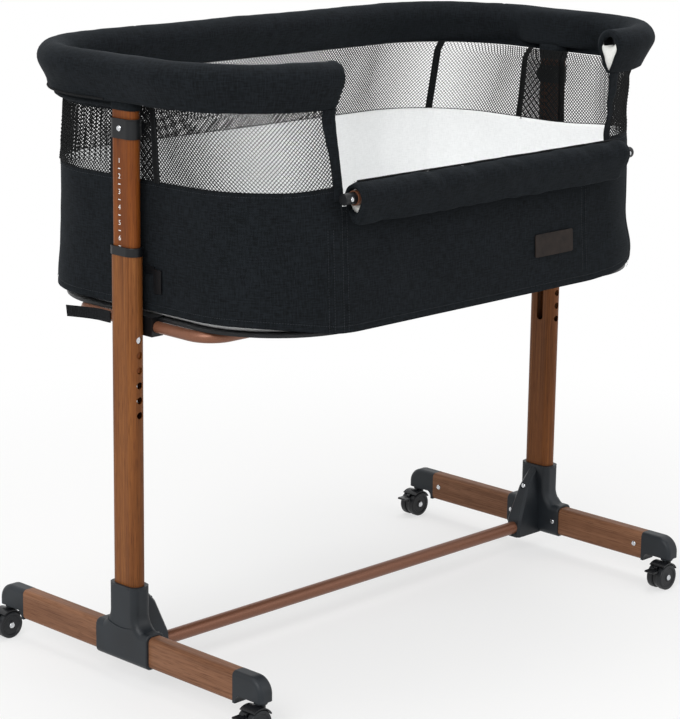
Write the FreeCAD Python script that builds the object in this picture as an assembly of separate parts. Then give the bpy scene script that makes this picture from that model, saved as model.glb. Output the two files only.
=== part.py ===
import FreeCAD, Part
import math
import os

# Bedside sleeper crib, in millimetres. X runs along the bed, Y from the open bedside (-Y) to the
# back, Z up from the floor. Everything is modelled at the highest bed setting with the front rail
# let down. Right-hand pieces (+X) are built, and left-hand ones are their mirror images.

os.makedirs("parts", exist_ok=True)
Vec = FreeCAD.Vector
X_AXIS = Vec(1, 0, 0)
Y_AXIS = Vec(0, 1, 0)
Z_AXIS = Vec(0, 0, 1)

# ---------------------------------------------------------------- fits
running_gap = 0.05            # radial gap of a shaft in its bore
seat_gap = 0.1                # a piece pushed or screwed into another of its own body
soft_gap = 0.3                # cloth and foam against their neighbours

# ---------------------------------------------------------------- posts
post_x = 440.0                # post centre line from the middle of the bed
post_depth = 50.0             # outer post, flat oval, along Y
post_width = 25.0             # outer post, along X
post_wall = 1.5
post_top = 611.0
inner_depth = 45.0            # inner post, along Y
inner_width = 20.0            # inner post, along X
inner_wall = 1.2
inner_bottom = 450.0
lock_hole_radius = 5.0
lock_hole_top = 496.0         # the hole of the highest setting
lock_step = 21.0              # height steps of the bed
lock_steps = 6
slot_width = 12.0             # slot on the inner side of the outer post
slot_bottom = 387.0
slot_top = 540.0
collar_flange = 12.0          # height of the collar on top of the outer post
collar_rim = 1.6              # how far the collar stands out round the post
collar_depth = 40.0           # how far the collar reaches down into the post

# ---------------------------------------------------------------- feet
foot_bottom = 36.0
foot_height = 45.0
foot_width = 25.0
foot_corner = 7.0
foot_wall = 1.5
foot_half = 223.0             # half length of the wood-print foot tube
cap_end = 278.0               # end face of the foot caps
cap_nose_radius = 24.0
cap_heel = 5.0                # full-height length of a cap beside the tube
cap_arch_z = 48.0             # roof of the arch over the caster
cap_arch_ramp = 6.0
cap_plug_length = 20.0
cap_screw_y = 209.0
cap_screw_z = 60.0

# ---------------------------------------------------------------- post base (T-shaped moulding)
base_half_y = 54.0            # half length of the foot sleeve
base_wall = 3.5               # wall round the foot tube
base_top = 146.0              # mouth of the post socket
socket_wall = 3.0             # wall round the outer post
flare_radius = 25.0           # concave flare from the socket to the sleeve
sleeve_corner = 9.0
socket_corner = 10.0          # rounding of the socket and its flares
crease_depth = 1.0            # step of the curved crease on the outer face
crease_low_z = 84.0
crease_high_z = 116.0
lip_height = 4.0
lip_out = 1.0
gusset_reach = 65.0           # inner end of the gusset, from the post's centre line
gusset_half_top = 7.0
gusset_half_low = 14.0
gusset_round = 4.0            # width of the ridge's bevelled corners
gusset_screw_z = 114.0
gusset_screw_seat = 38.0      # screw seat, from the post's centre line
sleeve_screw_y = 44.0
sleeve_screw_z = 59.0

# ---------------------------------------------------------------- cross tube between the feet
stretcher_radius = 10.0
stretcher_wall = 1.5
stretcher_z = 48.0
stretcher_boss = 14.0         # radius of its boss in the gusset

# ---------------------------------------------------------------- screws
screw_shank = 2.0
screw_head = 4.0
screw_head_height = 2.4
bolt_shank = 2.5
bolt_head = 4.5

# ---------------------------------------------------------------- casters
caster_y = 265.0              # stem from the middle of the foot
wheel_radius = 20.0
wheel_trail = 12.0            # axle behind the stem
wheel_inner = 3.5             # inner face of a wheel from the caster's middle
wheel_width = 10.6
wheel_edge = 1.8
axle_radius = 2.5
axle_head = 4.5
axle_head_height = 1.2
web_half = 3.2                # half thickness of the fork's web between the wheels
hood_gap = 1.2                # wheel to hood
hood_wall = 2.0
hood_half = 13.9
stem_radius = 4.0
stem_top = 66.0
stem_boss_radius = 7.0
fork_top = 43.5
fork_gap = 0.3                # under the cap's stem boss
lever_angle = 138.0           # place of the lever's pivot, round the axle
lever_pivot_radius = 18.5
lever_hub = 3.0
lever_ear = 5.4
lever_thick = 3.2
lever_reach = 18.5            # tip from the pivot
lever_tab_start = 5.4
lever_tab_half = 9.0

# ---------------------------------------------------------------- bed frame, floor, mattress
frame_radius = 8.0
frame_wall = 1.2
frame_z = 513.0
frame_half_y = 138.0
frame_corner = 38.0
bracket_gap = 0.5             # bracket to the outer post
bracket_skin = 2.0            # bracket between the frame tube and the post
bracket_wall = 4.0            # bracket on the other side of the frame tube
bracket_back = post_x - post_width / 2 - bracket_gap
frame_half_x = bracket_back - bracket_skin - frame_radius
bracket_front = frame_half_x - frame_radius - bracket_wall
bracket_half_y = 35.0
bracket_bottom = 500.0
bracket_top = 527.0
bracket_lip = 3.0
neck_width = 10.0             # neck that runs in the post's slot
neck_half_height = 10.0
board_thick = 4.0
mattress_thick = 38.0
mattress_draw = 9.0           # how far its edges are drawn in
mattress_crown = 7.0

# ---------------------------------------------------------------- rim
rim_overhang = 15.0           # centre line of the rim outside the posts' centre line
rim_x = post_x + rim_overhang
rim_y = 233.0
rim_corner = 160.0
rim_z = 868.0                 # centre of the rim tube
bar_radius = 10.0             # rim tube and rail tube
bar_wall = 1.5
inner_top = rim_z - 4.0       # the inner posts end in saddles round the rim tube
pad_top_radius = 22.0
pad_top_drop = 3.0            # centre of the pad's round top below the tube's
pad_top_z = rim_z - pad_top_drop
pad_tip_radius = 5.0
pad_tip_drop = 41.0           # centre of the pad's lower edge below the tube's
pad_tip_z = rim_z - pad_tip_drop
cover_thick = 2.0
gap_back = 13.0               # edge of the front opening from the start of the rim's bend
gap_half = rim_x - rim_corner - gap_back    # half length of the opening for the front rail
end_piece = 27.0              # length of the sewn end piece of the cover
sleeve_height = 15.0          # fabric sleeve on the inner post below the rim
sleeve_thick = 1.2
notch_gap = 2.0               # cloth round the inner post

# ---------------------------------------------------------------- fabric basket
wall_inset = 22.0             # end wall inside the posts' centre line
wall_half_x = post_x - wall_inset
wall_top_y = 246.0            # half depth at the top of the wall
wall_hem_y = 256.0            # half depth at the hem
wall_corner_top = 140.0
wall_corner_hem = 150.0
wall_hem_z = 520.0
wall_end_hem_z = 530.0        # the hem rises at the ends, over the brackets
hem_rise_start = 130.0        # where it starts to rise, from the end wall
hem_rise_end = 25.0
wall_top_z = 712.0
wall_front_z = 690.0          # lower front edge, behind the rail
wall_thick = 2.0
mesh_slant = 24.0             # how much wider the opening is at the top of the mesh
mesh_flare = 3.0              # how far the mesh leans out at the ends
mesh_top_x = wall_half_x + mesh_flare
mesh_top_y = 232.0
zip_height = 16.0             # black zip band between the mesh and the rim's lower edge
mesh_top_z = pad_tip_z - pad_tip_radius - zip_height
mesh_corner = 142.0
mesh_thick = 1.5
shoulder_inset = 5.0          # black zip band: its outer edge inside the rim's centre line
shoulder_x = rim_x - shoulder_inset
shoulder_y = rim_y + 0.5
shoulder_corner = rim_corner - 2.0
liner_gap = 3.0
liner_thick = 1.5
liner_top_z = 704.0

# ---------------------------------------------------------------- bands on the inner posts
band_drop = 10.0              # top of the band below the top of the mesh
band_height = 27.0
band_top = mesh_top_z - band_drop
band_bottom = band_top - band_height
band_wall = 2.0
band_tab_half = 18.0
band_lip = 1.2
band_lip_out = 1.8
band_screw_z = band_bottom + 14.0

# ---------------------------------------------------------------- front rail
rail_y = 268.0                # let down, from the middle of the bed
rail_z = 705.0
rail_tube_inset = 2.0         # end of the rail tube inside the opening's edge
rail_pad_inset = 6.0
rail_tube_half = gap_half - rail_tube_inset
rail_pad_half = gap_half - rail_pad_inset
rail_top_radius = 20.0
rail_top_rise = 2.0           # centre of the pad's round top above the tube
rail_tip_radius = 6.0
rail_tip_drop = 32.0          # centre of the pad's lower edge below the tube
rail_end_round = 12.0
rail_end_shrink = 6.0
plug_radius = 8.0
plug_reach = 20.0
plug_inside = 18.0
button_radius = 3.0
button_crown = 0.7            # how far a pressed button stands out of its plug
button_length = 9.0
button_travel = 3.0
front_mesh_thick = 1.2
front_mesh_inset = 12.0       # its sides inside the opening's edges
front_mesh_drop = 3.0         # its lower edge below the top of the front wall
front_mesh_half = gap_half - front_mesh_inset

# ---------------------------------------------------------------- cups in the rim's ends
cup_bore = 9.0                # open downwards, for the plugs of the raised rail
cup_wall = 3.0
cup_inset = 2.0               # mouth of the cup behind the cover's end
cup_plug_gap = 3.0            # end of the rail's plug to the floor of the cup
cup_start = gap_half + cup_inset
cup_floor = rail_tube_half + plug_reach + cup_plug_gap
cup_end = cup_floor + cup_wall
cup_plug_length = 8.0
cup_plug_radius = 7.2
cup_button_hole = 3.4

# ---------------------------------------------------------------- lock buttons in the inner posts
lock_button_radius = 4.7
lock_crown_gap = 0.3          # pressed button to the bore of the outer post
lock_button_length = 9.0
lock_flange_radius = 6.0
lock_flange = 2.0

# ---------------------------------------------------------------- trim on the basket
label_x = (109.0, 192.0)
label_z = (570.0, 603.0)
label_thick = 1.4
buckle_y = (-47.0, -32.0)
buckle_z = (560.0, 593.0)
buckle_thick = 3.0
buckle_foot_y = -16.0
strap_width = 16.0
strap_thick = 2.0
strap_y = 82.0
strap_out = 47.0
strap_turn = 33.0


# ---------------------------------------------------------------- helpers
def save(name, *solids):
    shape = solids[0] if len(solids) == 1 else Part.makeCompound(list(solids))
    shape.exportStep("parts/" + name + ".step")


def box(x0, x1, y0, y1, z0, z1):
    return Part.makeBox(x1 - x0, y1 - y0, z1 - z0, Vec(x0, y0, z0))


def rod(radius, start, end):
    return Part.makeCylinder(radius, (end - start).Length, start, end - start)


def mirror_x(shape):
    return shape.mirror(Vec(0, 0, 0), X_AXIS)


def mirror_y(shape):
    return shape.mirror(Vec(0, 0, 0), Y_AXIS)


def moved(shape, x=0.0, y=0.0, z=0.0):
    copy = shape.copy()
    copy.translate(Vec(x, y, z))
    return copy


def turned(shape, axis, degrees, centre=Vec(0, 0, 0)):
    copy = shape.copy()
    copy.rotate(centre, axis, degrees)
    return copy


def arc(start, middle, end):
    return Part.Arc(start, middle, end).toShape()


def rounded_wire(half_x, half_y, radius, z=0.0, x=0.0, y=0.0):
    """Rounded rectangle about (x, y); a radius of the half width gives a flat oval."""
    radius = min(radius, half_x, half_y)
    edges = []
    for quarter in range(4):
        wide, tall = (half_x, half_y) if quarter % 2 == 0 else (half_y, half_x)
        centre = Vec(wide - radius, tall - radius, 0)
        side_start = Vec(wide, radius - tall, 0)
        side_end = Vec(wide, tall - radius, 0)
        corner = [centre + Vec(math.cos(a), math.sin(a), 0) * radius
                  for a in (math.pi / 4, math.pi / 2)]
        pieces = [arc(side_end, corner[0], corner[1])]
        if (side_end - side_start).Length > 1e-6:
            pieces.insert(0, Part.makeLine(side_start, side_end))
        edges += [turned(piece, Z_AXIS, 90 * quarter) for piece in pieces]
    return moved(Part.Wire(edges), x, y, z)


def prism(wire, direction):
    return Part.Face(wire).extrude(direction)


def oval(depth, width, z0, z1, x=post_x):
    """Upright flat oval bar round a post's centre line."""
    return prism(rounded_wire(width / 2, depth / 2, width / 2, z0, x), Z_AXIS * (z1 - z0))


def oval_tube(depth, width, wall, z0, z1):
    return oval(depth, width, z0, z1).cut(oval(depth - 2 * wall, width - 2 * wall, z0, z1))


def outline(points, plane_y=None, plane_x=None):
    """Closed wire of straight and round edges: a point given as (mid, end) makes an arc."""
    def place(point):
        if plane_y is not None:
            return Vec(point[0], plane_y, point[1])
        return Vec(plane_x, point[0], point[1])

    edges = []
    here = place(points[0])
    for item in points[1:] + [points[0]]:
        if isinstance(item[0], tuple):
            edges.append(arc(here, place(item[0]), place(item[1])))
            here = place(item[1])
        elif (place(item) - here).Length > 1e-6:
            edges.append(Part.makeLine(here, place(item)))
            here = place(item)
    return Part.Wire(edges)


def ring(section, half_x, half_y, radius):
    """Sweeps a face, drawn in the XZ plane with X outwards, round a rounded rectangle."""
    pieces = []
    for quarter in range(4):
        across, along = (half_x, half_y) if quarter % 2 == 0 else (half_y, half_x)
        along -= radius
        side = moved(section, across, -along).extrude(Y_AXIS * (2 * along))
        corner = moved(section, across, along).revolve(Vec(across - radius, along, 0), Z_AXIS, 90)
        pieces += [turned(piece, Z_AXIS, 90 * quarter) for piece in (side, corner)]
    return pieces[0].multiFuse(pieces[1:]).removeSplitter()


def disc_section(radius, wall, z):
    """Section of a round tube, in the XZ plane."""
    ring_edge = Part.Wire(Part.makeCircle(radius, Vec(0, 0, z), Y_AXIS))
    face = Part.Face(ring_edge)
    return face.cut(Part.Face(Part.Wire(Part.makeCircle(radius - wall, Vec(0, 0, z), Y_AXIS))))


def drop_wire(top_radius, top_z, tip_radius, tip_z, y=0.0):
    """Teardrop of a pad hung over a tube: a round top drawn in to a small lower edge."""
    tilt = math.asin((tip_radius - top_radius) / (top_z - tip_z))

    def at(radius, centre_z, angle):
        return (radius * math.cos(angle), centre_z + radius * math.sin(angle))

    up = math.pi / 2
    middle = (tilt + up) / 2
    points = [at(tip_radius, tip_z, tilt),
              at(top_radius, top_z, tilt),
              (at(top_radius, top_z, middle), at(top_radius, top_z, up)),
              (at(top_radius, top_z, 2 * up - middle), at(top_radius, top_z, 2 * up - tilt)),
              at(tip_radius, tip_z, 2 * up - tilt),
              (at(tip_radius, tip_z, -up - (up + tilt) / 2), at(tip_radius, tip_z, -up)),
              (at(tip_radius, tip_z, (tilt - up) / 2), at(tip_radius, tip_z, tilt))]
    return outline(points, plane_y=y)


def screw(seat, direction, length, shank=screw_shank, head=screw_head):
    """Pan-head screw: the head stands on the seat, the shank goes along direction."""
    body = rod(shank, seat, seat + direction * length)
    top = seat - direction * screw_head_height
    cap = rod(head, top, seat)
    rims = [e for e in cap.Edges if e.Closed and (e.CenterOfMass - top).Length < 0.01]
    return cap.makeChamfer(screw_head_height * 0.4, rims).fuse(body).removeSplitter()


# ---------------------------------------------------------------- feet
def foot_section(half_width, half_height, corner, y):
    flat = turned(rounded_wire(half_width, half_height, corner), X_AXIS, 90)
    return moved(flat, post_x, y, foot_bottom + foot_height / 2)


def foot_bar(grow, y0, y1, corner=foot_corner):
    wire = foot_section(foot_width / 2 + grow, foot_height / 2 + grow, corner + grow, y0)
    return prism(wire, Y_AXIS * (y1 - y0))


def foot_screw_hole(y, z, grow):
    return rod(screw_shank + grow, Vec(post_x - foot_width, y, z), Vec(post_x, y, z))


def foot_tube():
    tube = foot_bar(0, -foot_half, foot_half).cut(foot_bar(-foot_wall, -foot_half, foot_half))
    for side in (-1, 1):
        tube = tube.cut(foot_screw_hole(side * cap_screw_y, cap_screw_z, running_gap))
        tube = tube.cut(foot_screw_hole(side * sleeve_screw_y, sleeve_screw_z, running_gap))
    return tube


def foot_cap():
    """Cap of the +Y end: a rounded nose, an arch over the caster, the stem's boss and a plug."""
    top = foot_bottom + foot_height
    nose = cap_nose_radius
    diagonal = nose * math.sqrt(0.5)
    heel = foot_half + cap_heel
    side = [(foot_half, foot_bottom),
            (heel, foot_bottom),
            ((heel + cap_arch_ramp * 0.3, cap_arch_z - (cap_arch_z - foot_bottom) * 0.3),
             (heel + cap_arch_ramp, cap_arch_z)),
            (cap_end, cap_arch_z),
            (cap_end, top - nose),
            ((cap_end - nose + diagonal, top - nose + diagonal), (cap_end - nose, top)),
            (foot_half, top)]
    body = prism(outline(side, plane_x=post_x - foot_width / 2), X_AXIS * foot_width)
    soft_edges = [edge for edge in body.Edges
                  if min(v.Z for v in edge.Vertexes) > cap_arch_z + 1
                  and abs(edge.Vertexes[0].X - edge.Vertexes[-1].X) < 1
                  and edge.BoundBox.YLength > 1]
    body = body.makeFillet(foot_corner - 0.5, soft_edges)
    boss = rod(stem_boss_radius + 2.5, Vec(post_x, caster_y, fork_top + fork_gap),
               Vec(post_x, caster_y, cap_arch_z + 1))
    plug = foot_bar(-foot_wall - seat_gap, foot_half - cap_plug_length, foot_half + 1)
    bore = rod(stem_radius + running_gap, Vec(post_x, caster_y, fork_top),
               Vec(post_x, caster_y, stem_top + 2))
    body = body.fuse(boss).fuse(plug).cut(bore)
    return body.cut(foot_screw_hole(cap_screw_y, cap_screw_z, running_gap)).removeSplitter()


# ---------------------------------------------------------------- post base
def base_shell(grow):
    """Outside of the T: a foot sleeve and a post socket, joined by concave flares."""
    half_width = foot_width / 2 + base_wall + grow
    sleeve_top = foot_bottom + foot_height + base_wall
    sleeve_low = foot_bottom - base_wall + 1
    middle_z = (sleeve_top + sleeve_low) / 2
    wire = turned(rounded_wire(half_width, (sleeve_top - sleeve_low) / 2, sleeve_corner), X_AXIS, 90)
    sleeve = prism(moved(wire, post_x, -base_half_y, middle_z), Y_AXIS * (2 * base_half_y))
    ends = [edge for edge in sleeve.Edges if edge.BoundBox.YLength < 0.1]
    sleeve = sleeve.makeFillet(2.0, ends)
    socket = post_depth / 2 + socket_wall
    foot = socket + flare_radius
    low = sleeve_top - 3
    high = low + flare_radius
    bend = flare_radius * (1 - math.sqrt(0.5))
    profile = outline([(foot, middle_z), (foot, low), ((socket + bend, low + bend), (socket, high)),
                       (socket, base_top), (-socket, base_top), (-socket, high),
                       ((-socket - bend, low + bend), (-foot, low)), (-foot, middle_z)],
                      plane_x=post_x - half_width)
    upper = prism(profile, X_AXIS * (2 * half_width))
    rims = [edge for edge in upper.Edges
            if edge.BoundBox.XLength < 0.1 and edge.BoundBox.ZLength > flare_radius - 0.1]
    return sleeve.fuse(upper.makeFillet(socket_corner, rims))


def gusset():
    """Ridge from the socket down to the boss of the cross tube."""
    low = foot_bottom - base_wall + 1
    levels = [(base_top - 4, 17.0, gusset_half_top),
              (112.0, 41.0, gusset_half_top + 3),
              (stretcher_z + stretcher_boss, gusset_reach - 3, gusset_half_low),
              (low, gusset_reach, gusset_half_low)]
    wires = []
    for z, reach, half in levels:
        front = post_x - reach
        edge = gusset_round
        corners = [Vec(post_x, -half, z), Vec(front + edge, -half, z), Vec(front, edge - half, z),
                   Vec(front, half - edge, z), Vec(front + edge, half, z), Vec(post_x, half, z)]
        wires.append(Part.makePolygon(corners + [corners[0]]))
    return Part.makeLoft(wires, True, True)


def post_base():
    body = base_shell(0).fuse(gusset())
    # the crease: below a curved line the outer face stands a little further out
    reach = base_half_y + 8
    panel = outline([(-reach, 0.0), (reach, 0.0), (reach, crease_high_z),
                     ((0.0, crease_low_z), (-reach, crease_high_z))], plane_x=post_x)
    outer = base_shell(crease_depth).common(prism(panel, X_AXIS * post_width))
    body = body.fuse(outer)
    lip = oval(post_depth + 2 * (socket_wall + lip_out), post_width + 2 * (base_wall + lip_out),
               base_top - lip_height, base_top)
    body = body.fuse(lip)
    body = body.cut(foot_bar(seat_gap, -base_half_y - 5, base_half_y + 5))
    post_seat = foot_bottom + foot_height + base_wall - 0.5
    body = body.cut(oval(post_depth + 2 * seat_gap, post_width + 2 * seat_gap,
                         post_seat, base_top + 1))
    body = body.cut(rod(stretcher_radius + seat_gap, Vec(0, 0, stretcher_z),
                        Vec(post_x - post_width / 2, 0, stretcher_z)))
    for side in (-1, 1):
        body = body.cut(foot_screw_hole(side * sleeve_screw_y, sleeve_screw_z, running_gap))
    seat_x = post_x - gusset_screw_seat
    body = body.cut(rod(screw_shank + running_gap, Vec(seat_x - 5, 0, gusset_screw_z),
                        Vec(post_x, 0, gusset_screw_z)))
    body = body.cut(rod(screw_head + 0.8, Vec(seat_x - gusset_reach / 2, 0, gusset_screw_z),
                        Vec(seat_x, 0, gusset_screw_z)))
    return body.removeSplitter()


def base_screws():
    """Screws of one side: two in the foot sleeve, one in the gusset, one in each foot cap."""
    sleeve_face = post_x - foot_width / 2 - base_wall
    tube_face = post_x - foot_width / 2
    screws = []
    for side in (-1, 1):
        screws.append(screw(Vec(sleeve_face, side * sleeve_screw_y, sleeve_screw_z), X_AXIS, 8))
        screws.append(screw(Vec(tube_face, side * cap_screw_y, cap_screw_z), X_AXIS, 8))
    seat_x = post_x - gusset_screw_seat
    screws.append(screw(Vec(seat_x, 0, gusset_screw_z), X_AXIS,
                        gusset_screw_seat - post_width / 2 + post_wall + 1))
    return screws


def outer_post():
    post_foot = foot_bottom + foot_height + base_wall - 0.5 + seat_gap
    tube = oval_tube(post_depth, post_width, post_wall, post_foot, post_top)
    for step in range(lock_steps):
        z = lock_hole_top - lock_step * step
        tube = tube.cut(rod(lock_hole_radius, Vec(post_x, -post_depth, z), Vec(post_x, 0, z)))
    inner_face = post_x - post_width / 2
    half = slot_width / 2
    slot = box(inner_face - 1, inner_face + 5, -half, half, slot_bottom + half, slot_top - half)
    for z in (slot_bottom + half, slot_top - half):
        slot = slot.fuse(rod(half, Vec(inner_face - 1, 0, z), Vec(inner_face + 5, 0, z)))
    tube = tube.cut(slot)
    hole = rod(screw_shank + running_gap, Vec(inner_face - 1, 0, gusset_screw_z),
               Vec(post_x, 0, gusset_screw_z))
    return tube.cut(hole)


def collar():
    inside_depth = inner_depth + 2 * 0.2
    inside_width = inner_width + 2 * 0.2
    sleeve = oval(post_depth - 2 * post_wall - seat_gap, post_width - 2 * post_wall - seat_gap,
                  post_top - collar_depth, post_top)
    flange = oval(post_depth + 2 * collar_rim, post_width + 2 * collar_rim,
                  post_top + seat_gap / 2, post_top + collar_flange)
    top_edges = [e for e in flange.Edges if e.BoundBox.ZMin > post_top + collar_flange - 0.1]
    flange = flange.makeFillet(1.2, top_edges)
    body = sleeve.fuse(flange)
    neck = oval(post_depth - 2 * post_wall - seat_gap, post_width - 2 * post_wall - seat_gap,
                post_top - 1, post_top + 1)
    return body.fuse(neck).cut(oval(inside_depth, inside_width, post_top - collar_depth - 1,
                                    post_top + collar_flange + 1)).removeSplitter()


def stretcher():
    half = post_x - foot_width / 2 - base_wall
    start = Vec(-half, 0, stretcher_z)
    end = Vec(half, 0, stretcher_z)
    return rod(stretcher_radius, start, end).cut(rod(stretcher_radius - stretcher_wall, start, end))


# ---------------------------------------------------------------- casters, drawn about their stem
axle_x = -wheel_trail
pivot_x = axle_x + lever_pivot_radius * math.cos(math.radians(lever_angle))
pivot_z = wheel_radius + lever_pivot_radius * math.sin(math.radians(lever_angle))


def axle_rod(radius, y0, y1):
    return rod(radius, Vec(axle_x, y0, wheel_radius), Vec(axle_x, y1, wheel_radius))


def wheel(side):
    """One wheel of the twin; side is +1 or -1 along Y."""
    face = wheel_inner + wheel_width
    rim = wheel_radius
    points = [(axle_radius + running_gap, wheel_inner),
              (rim - wheel_edge, wheel_inner),
              (rim - wheel_edge * 0.3, wheel_inner + wheel_edge * 0.3),
              (rim, wheel_inner + wheel_edge),
              (rim, face - wheel_edge),
              (rim - wheel_edge * 0.3, face - wheel_edge * 0.3),
              (rim - wheel_edge, face),
              (rim - 4.5, face),
              (rim - 6.0, face - 1.6),
              (axle_head + 2.5, face - 1.6),
              (axle_head + 1.0, face - 0.4),
              (axle_radius + running_gap, face - 0.4)]
    flat = outline(points, plane_y=0.0)
    body = Part.Face(flat).revolve(Vec(0, 0, 0), Z_AXIS, 360)
    body = turned(body, X_AXIS, -90)
    if side < 0:
        body = mirror_y(body)
    return moved(body, axle_x, 0, wheel_radius)


def axle():
    half = wheel_inner + wheel_width
    body = axle_rod(axle_radius, -half, half)
    for side in (-1, 1):
        head = axle_rod(axle_head, side * half, side * (half + axle_head_height))
        rims = [e for e in head.Edges if e.Closed
                and abs(e.CenterOfMass.y - side * (half + axle_head_height)) < 0.01]
        body = body.fuse(head.makeChamfer(axle_head_height * 0.6, rims))
    return body.removeSplitter()


def fork():
    """Hood with stem: a web between the wheels, a roof over them and the lever's socket."""
    inside = wheel_radius + hood_gap
    roof = axle_rod(inside + hood_wall, -hood_half, hood_half)
    roof = roof.cut(axle_rod(inside, -hood_half, hood_half))
    start = math.radians(30)
    end = math.radians(126)
    far = 3 * wheel_radius
    wedge = outline([(axle_x, wheel_radius),
                     (axle_x + far * math.cos(start), wheel_radius + far * math.sin(start)),
                     (axle_x, wheel_radius + far),
                     (axle_x + far * math.cos(end), wheel_radius + far * math.sin(end))],
                    plane_y=-hood_half)
    roof = roof.common(prism(wedge, Y_AXIS * (2 * hood_half)))
    boss = rod(stem_boss_radius, Vec(0, 0, wheel_radius + 8), Vec(0, 0, fork_top))
    boss = boss.cut(axle_rod(inside, -hood_half, hood_half))
    web = axle_rod(wheel_radius - 2, -web_half, web_half)
    upper = axle_rod(inside + 0.5, -web_half, web_half)
    upper = upper.common(box(-far, far, -web_half, web_half, wheel_radius + 6, far))
    ear = rod(lever_ear, Vec(pivot_x, -web_half, pivot_z), Vec(pivot_x, web_half, pivot_z))
    body = roof.multiFuse([boss, web, upper, ear])
    body = body.cut(axle_rod(axle_radius + seat_gap / 2, -hood_half, hood_half))
    body = body.cut(rod(lever_hub + running_gap, Vec(pivot_x, -hood_half, pivot_z),
                        Vec(pivot_x, hood_half, pivot_z)))
    mouth = [(pivot_x, pivot_z)]
    for angle in (140, 190, 238):
        turn = math.radians(angle)
        mouth.append((pivot_x + 14 * math.cos(turn), pivot_z + 14 * math.sin(turn)))
    body = body.cut(prism(outline(mouth, plane_y=-hood_half), Y_AXIS * (2 * hood_half)))
    stem = rod(stem_radius, Vec(0, 0, fork_top - 3), Vec(0, 0, stem_top))
    return body.fuse(stem).removeSplitter()


def brake_lever():
    """Hub in the fork's socket, an arm between the wheels and a tab for the toe."""
    half = web_half - 0.3
    hub = rod(lever_hub, Vec(pivot_x, -half, pivot_z), Vec(pivot_x, half, pivot_z))
    low = pivot_z - lever_thick / 2
    high = pivot_z + lever_thick / 2
    tip = pivot_x - lever_reach
    arm = box(tip + 2, pivot_x, -half, half, low, high)
    corner = lever_thick / 2
    side = [(pivot_x - lever_tab_start, low), (pivot_x - lever_tab_start, high),
            (tip + corner, high), ((tip, pivot_z), (tip + corner, low))]
    tab = prism(outline(side, plane_y=-lever_tab_half), Y_AXIS * (2 * lever_tab_half))
    ends = [e for e in tab.Edges if e.BoundBox.ZLength > lever_thick - 0.1
            and e.BoundBox.YLength < 0.1 and e.BoundBox.XLength < 0.1]
    tab = tab.makeFillet(2.0, ends)
    return hub.fuse(arm).fuse(tab).removeSplitter()


# ---------------------------------------------------------------- inner posts and their fittings
def rim_tube_ring():
    return ring(disc_section(bar_radius, bar_wall, rim_z), rim_x, rim_y, rim_corner)


def front_gap(half):
    return box(-half, half, -2 * rim_y, 0, 0, 2 * rim_z)


def inner_post():
    tube = oval_tube(inner_depth, inner_width, inner_wall, inner_bottom, inner_top)
    saddle = rod(bar_radius + seat_gap, Vec(rim_x, -inner_depth, rim_z),
                 Vec(rim_x, inner_depth, rim_z))
    tube = tube.cut(saddle)
    tube = tube.cut(rod(lock_button_radius + seat_gap, Vec(post_x, -post_depth, lock_hole_top),
                        Vec(post_x, 0, lock_hole_top)))
    tube = tube.cut(rod(bolt_shank + seat_gap, Vec(post_x - post_width, 0, frame_z),
                        Vec(post_x, 0, frame_z)))
    return tube.cut(rod(screw_shank + seat_gap, Vec(post_x, 0, band_screw_z),
                        Vec(post_x + post_width, 0, band_screw_z)))


def top_band():
    body = oval(inner_depth + 2 * band_wall, inner_width + 2 * band_wall, band_bottom, band_top)
    lip = oval(inner_depth + 2 * (band_wall + band_lip_out), inner_width + 2 * (band_wall + band_lip_out),
               band_top - band_lip, band_top)
    body = body.fuse(lip)
    tab_face = mesh_top_x + 1.5
    tab = box(tab_face, post_x, -band_tab_half, band_tab_half, band_bottom + 4, band_top - 4)
    edges = [e for e in tab.Edges if e.BoundBox.XLength > 5 and e.BoundBox.YLength < 0.1]
    body = body.fuse(tab.makeFillet(4.0, edges))
    body = body.cut(oval(inner_depth + seat_gap, inner_width + seat_gap, band_bottom, band_top))
    return body.cut(rod(screw_shank + seat_gap, Vec(post_x, 0, band_screw_z),
                        Vec(post_x + post_width, 0, band_screw_z))).removeSplitter()


def lower_bracket():
    """Saddle that carries the frame tube, with the neck that runs in the post's slot."""
    body = box(bracket_front, bracket_back, -bracket_half_y, bracket_half_y,
               bracket_bottom, bracket_top)
    edges = [e for e in body.Edges if e.BoundBox.YLength < 0.1 and e.CenterOfMass.x < bracket_front + 0.1]
    edges += [e for e in body.Edges if e.BoundBox.ZLength > 20 and e.CenterOfMass.x < bracket_front + 0.1]
    body = body.makeFillet(3.0, list({e.hashCode(): e for e in edges}.values()))
    lip = box(bracket_front - 3, bracket_back, -bracket_half_y + 4, bracket_half_y - 4,
              bracket_bottom, bracket_bottom + bracket_lip)
    neck = box(bracket_back - 1, post_x - inner_width / 2 - seat_gap, -neck_width / 2, neck_width / 2,
               frame_z - neck_half_height, frame_z + neck_half_height)
    body = body.fuse(lip).fuse(neck)
    body = body.cut(rod(frame_radius + seat_gap, Vec(frame_half_x, -2 * bracket_half_y, frame_z),
                        Vec(frame_half_x, 2 * bracket_half_y, frame_z)))
    return body.cut(rod(bolt_shank + seat_gap, Vec(0, 0, frame_z), Vec(post_x, 0, frame_z)))


def bed_screws():
    """Of one side: the bolt through bracket, frame tube and inner post, and the band's screw."""
    bolt = screw(Vec(bracket_front, 0, frame_z), X_AXIS,
                 post_x - inner_width / 2 + inner_wall + 3 - bracket_front, bolt_shank, bolt_head)
    band_face = post_x + inner_width / 2 + band_wall
    band = screw(Vec(band_face, 0, band_screw_z), X_AXIS * -1, band_wall + inner_wall + 3)
    return [bolt, band]


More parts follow.
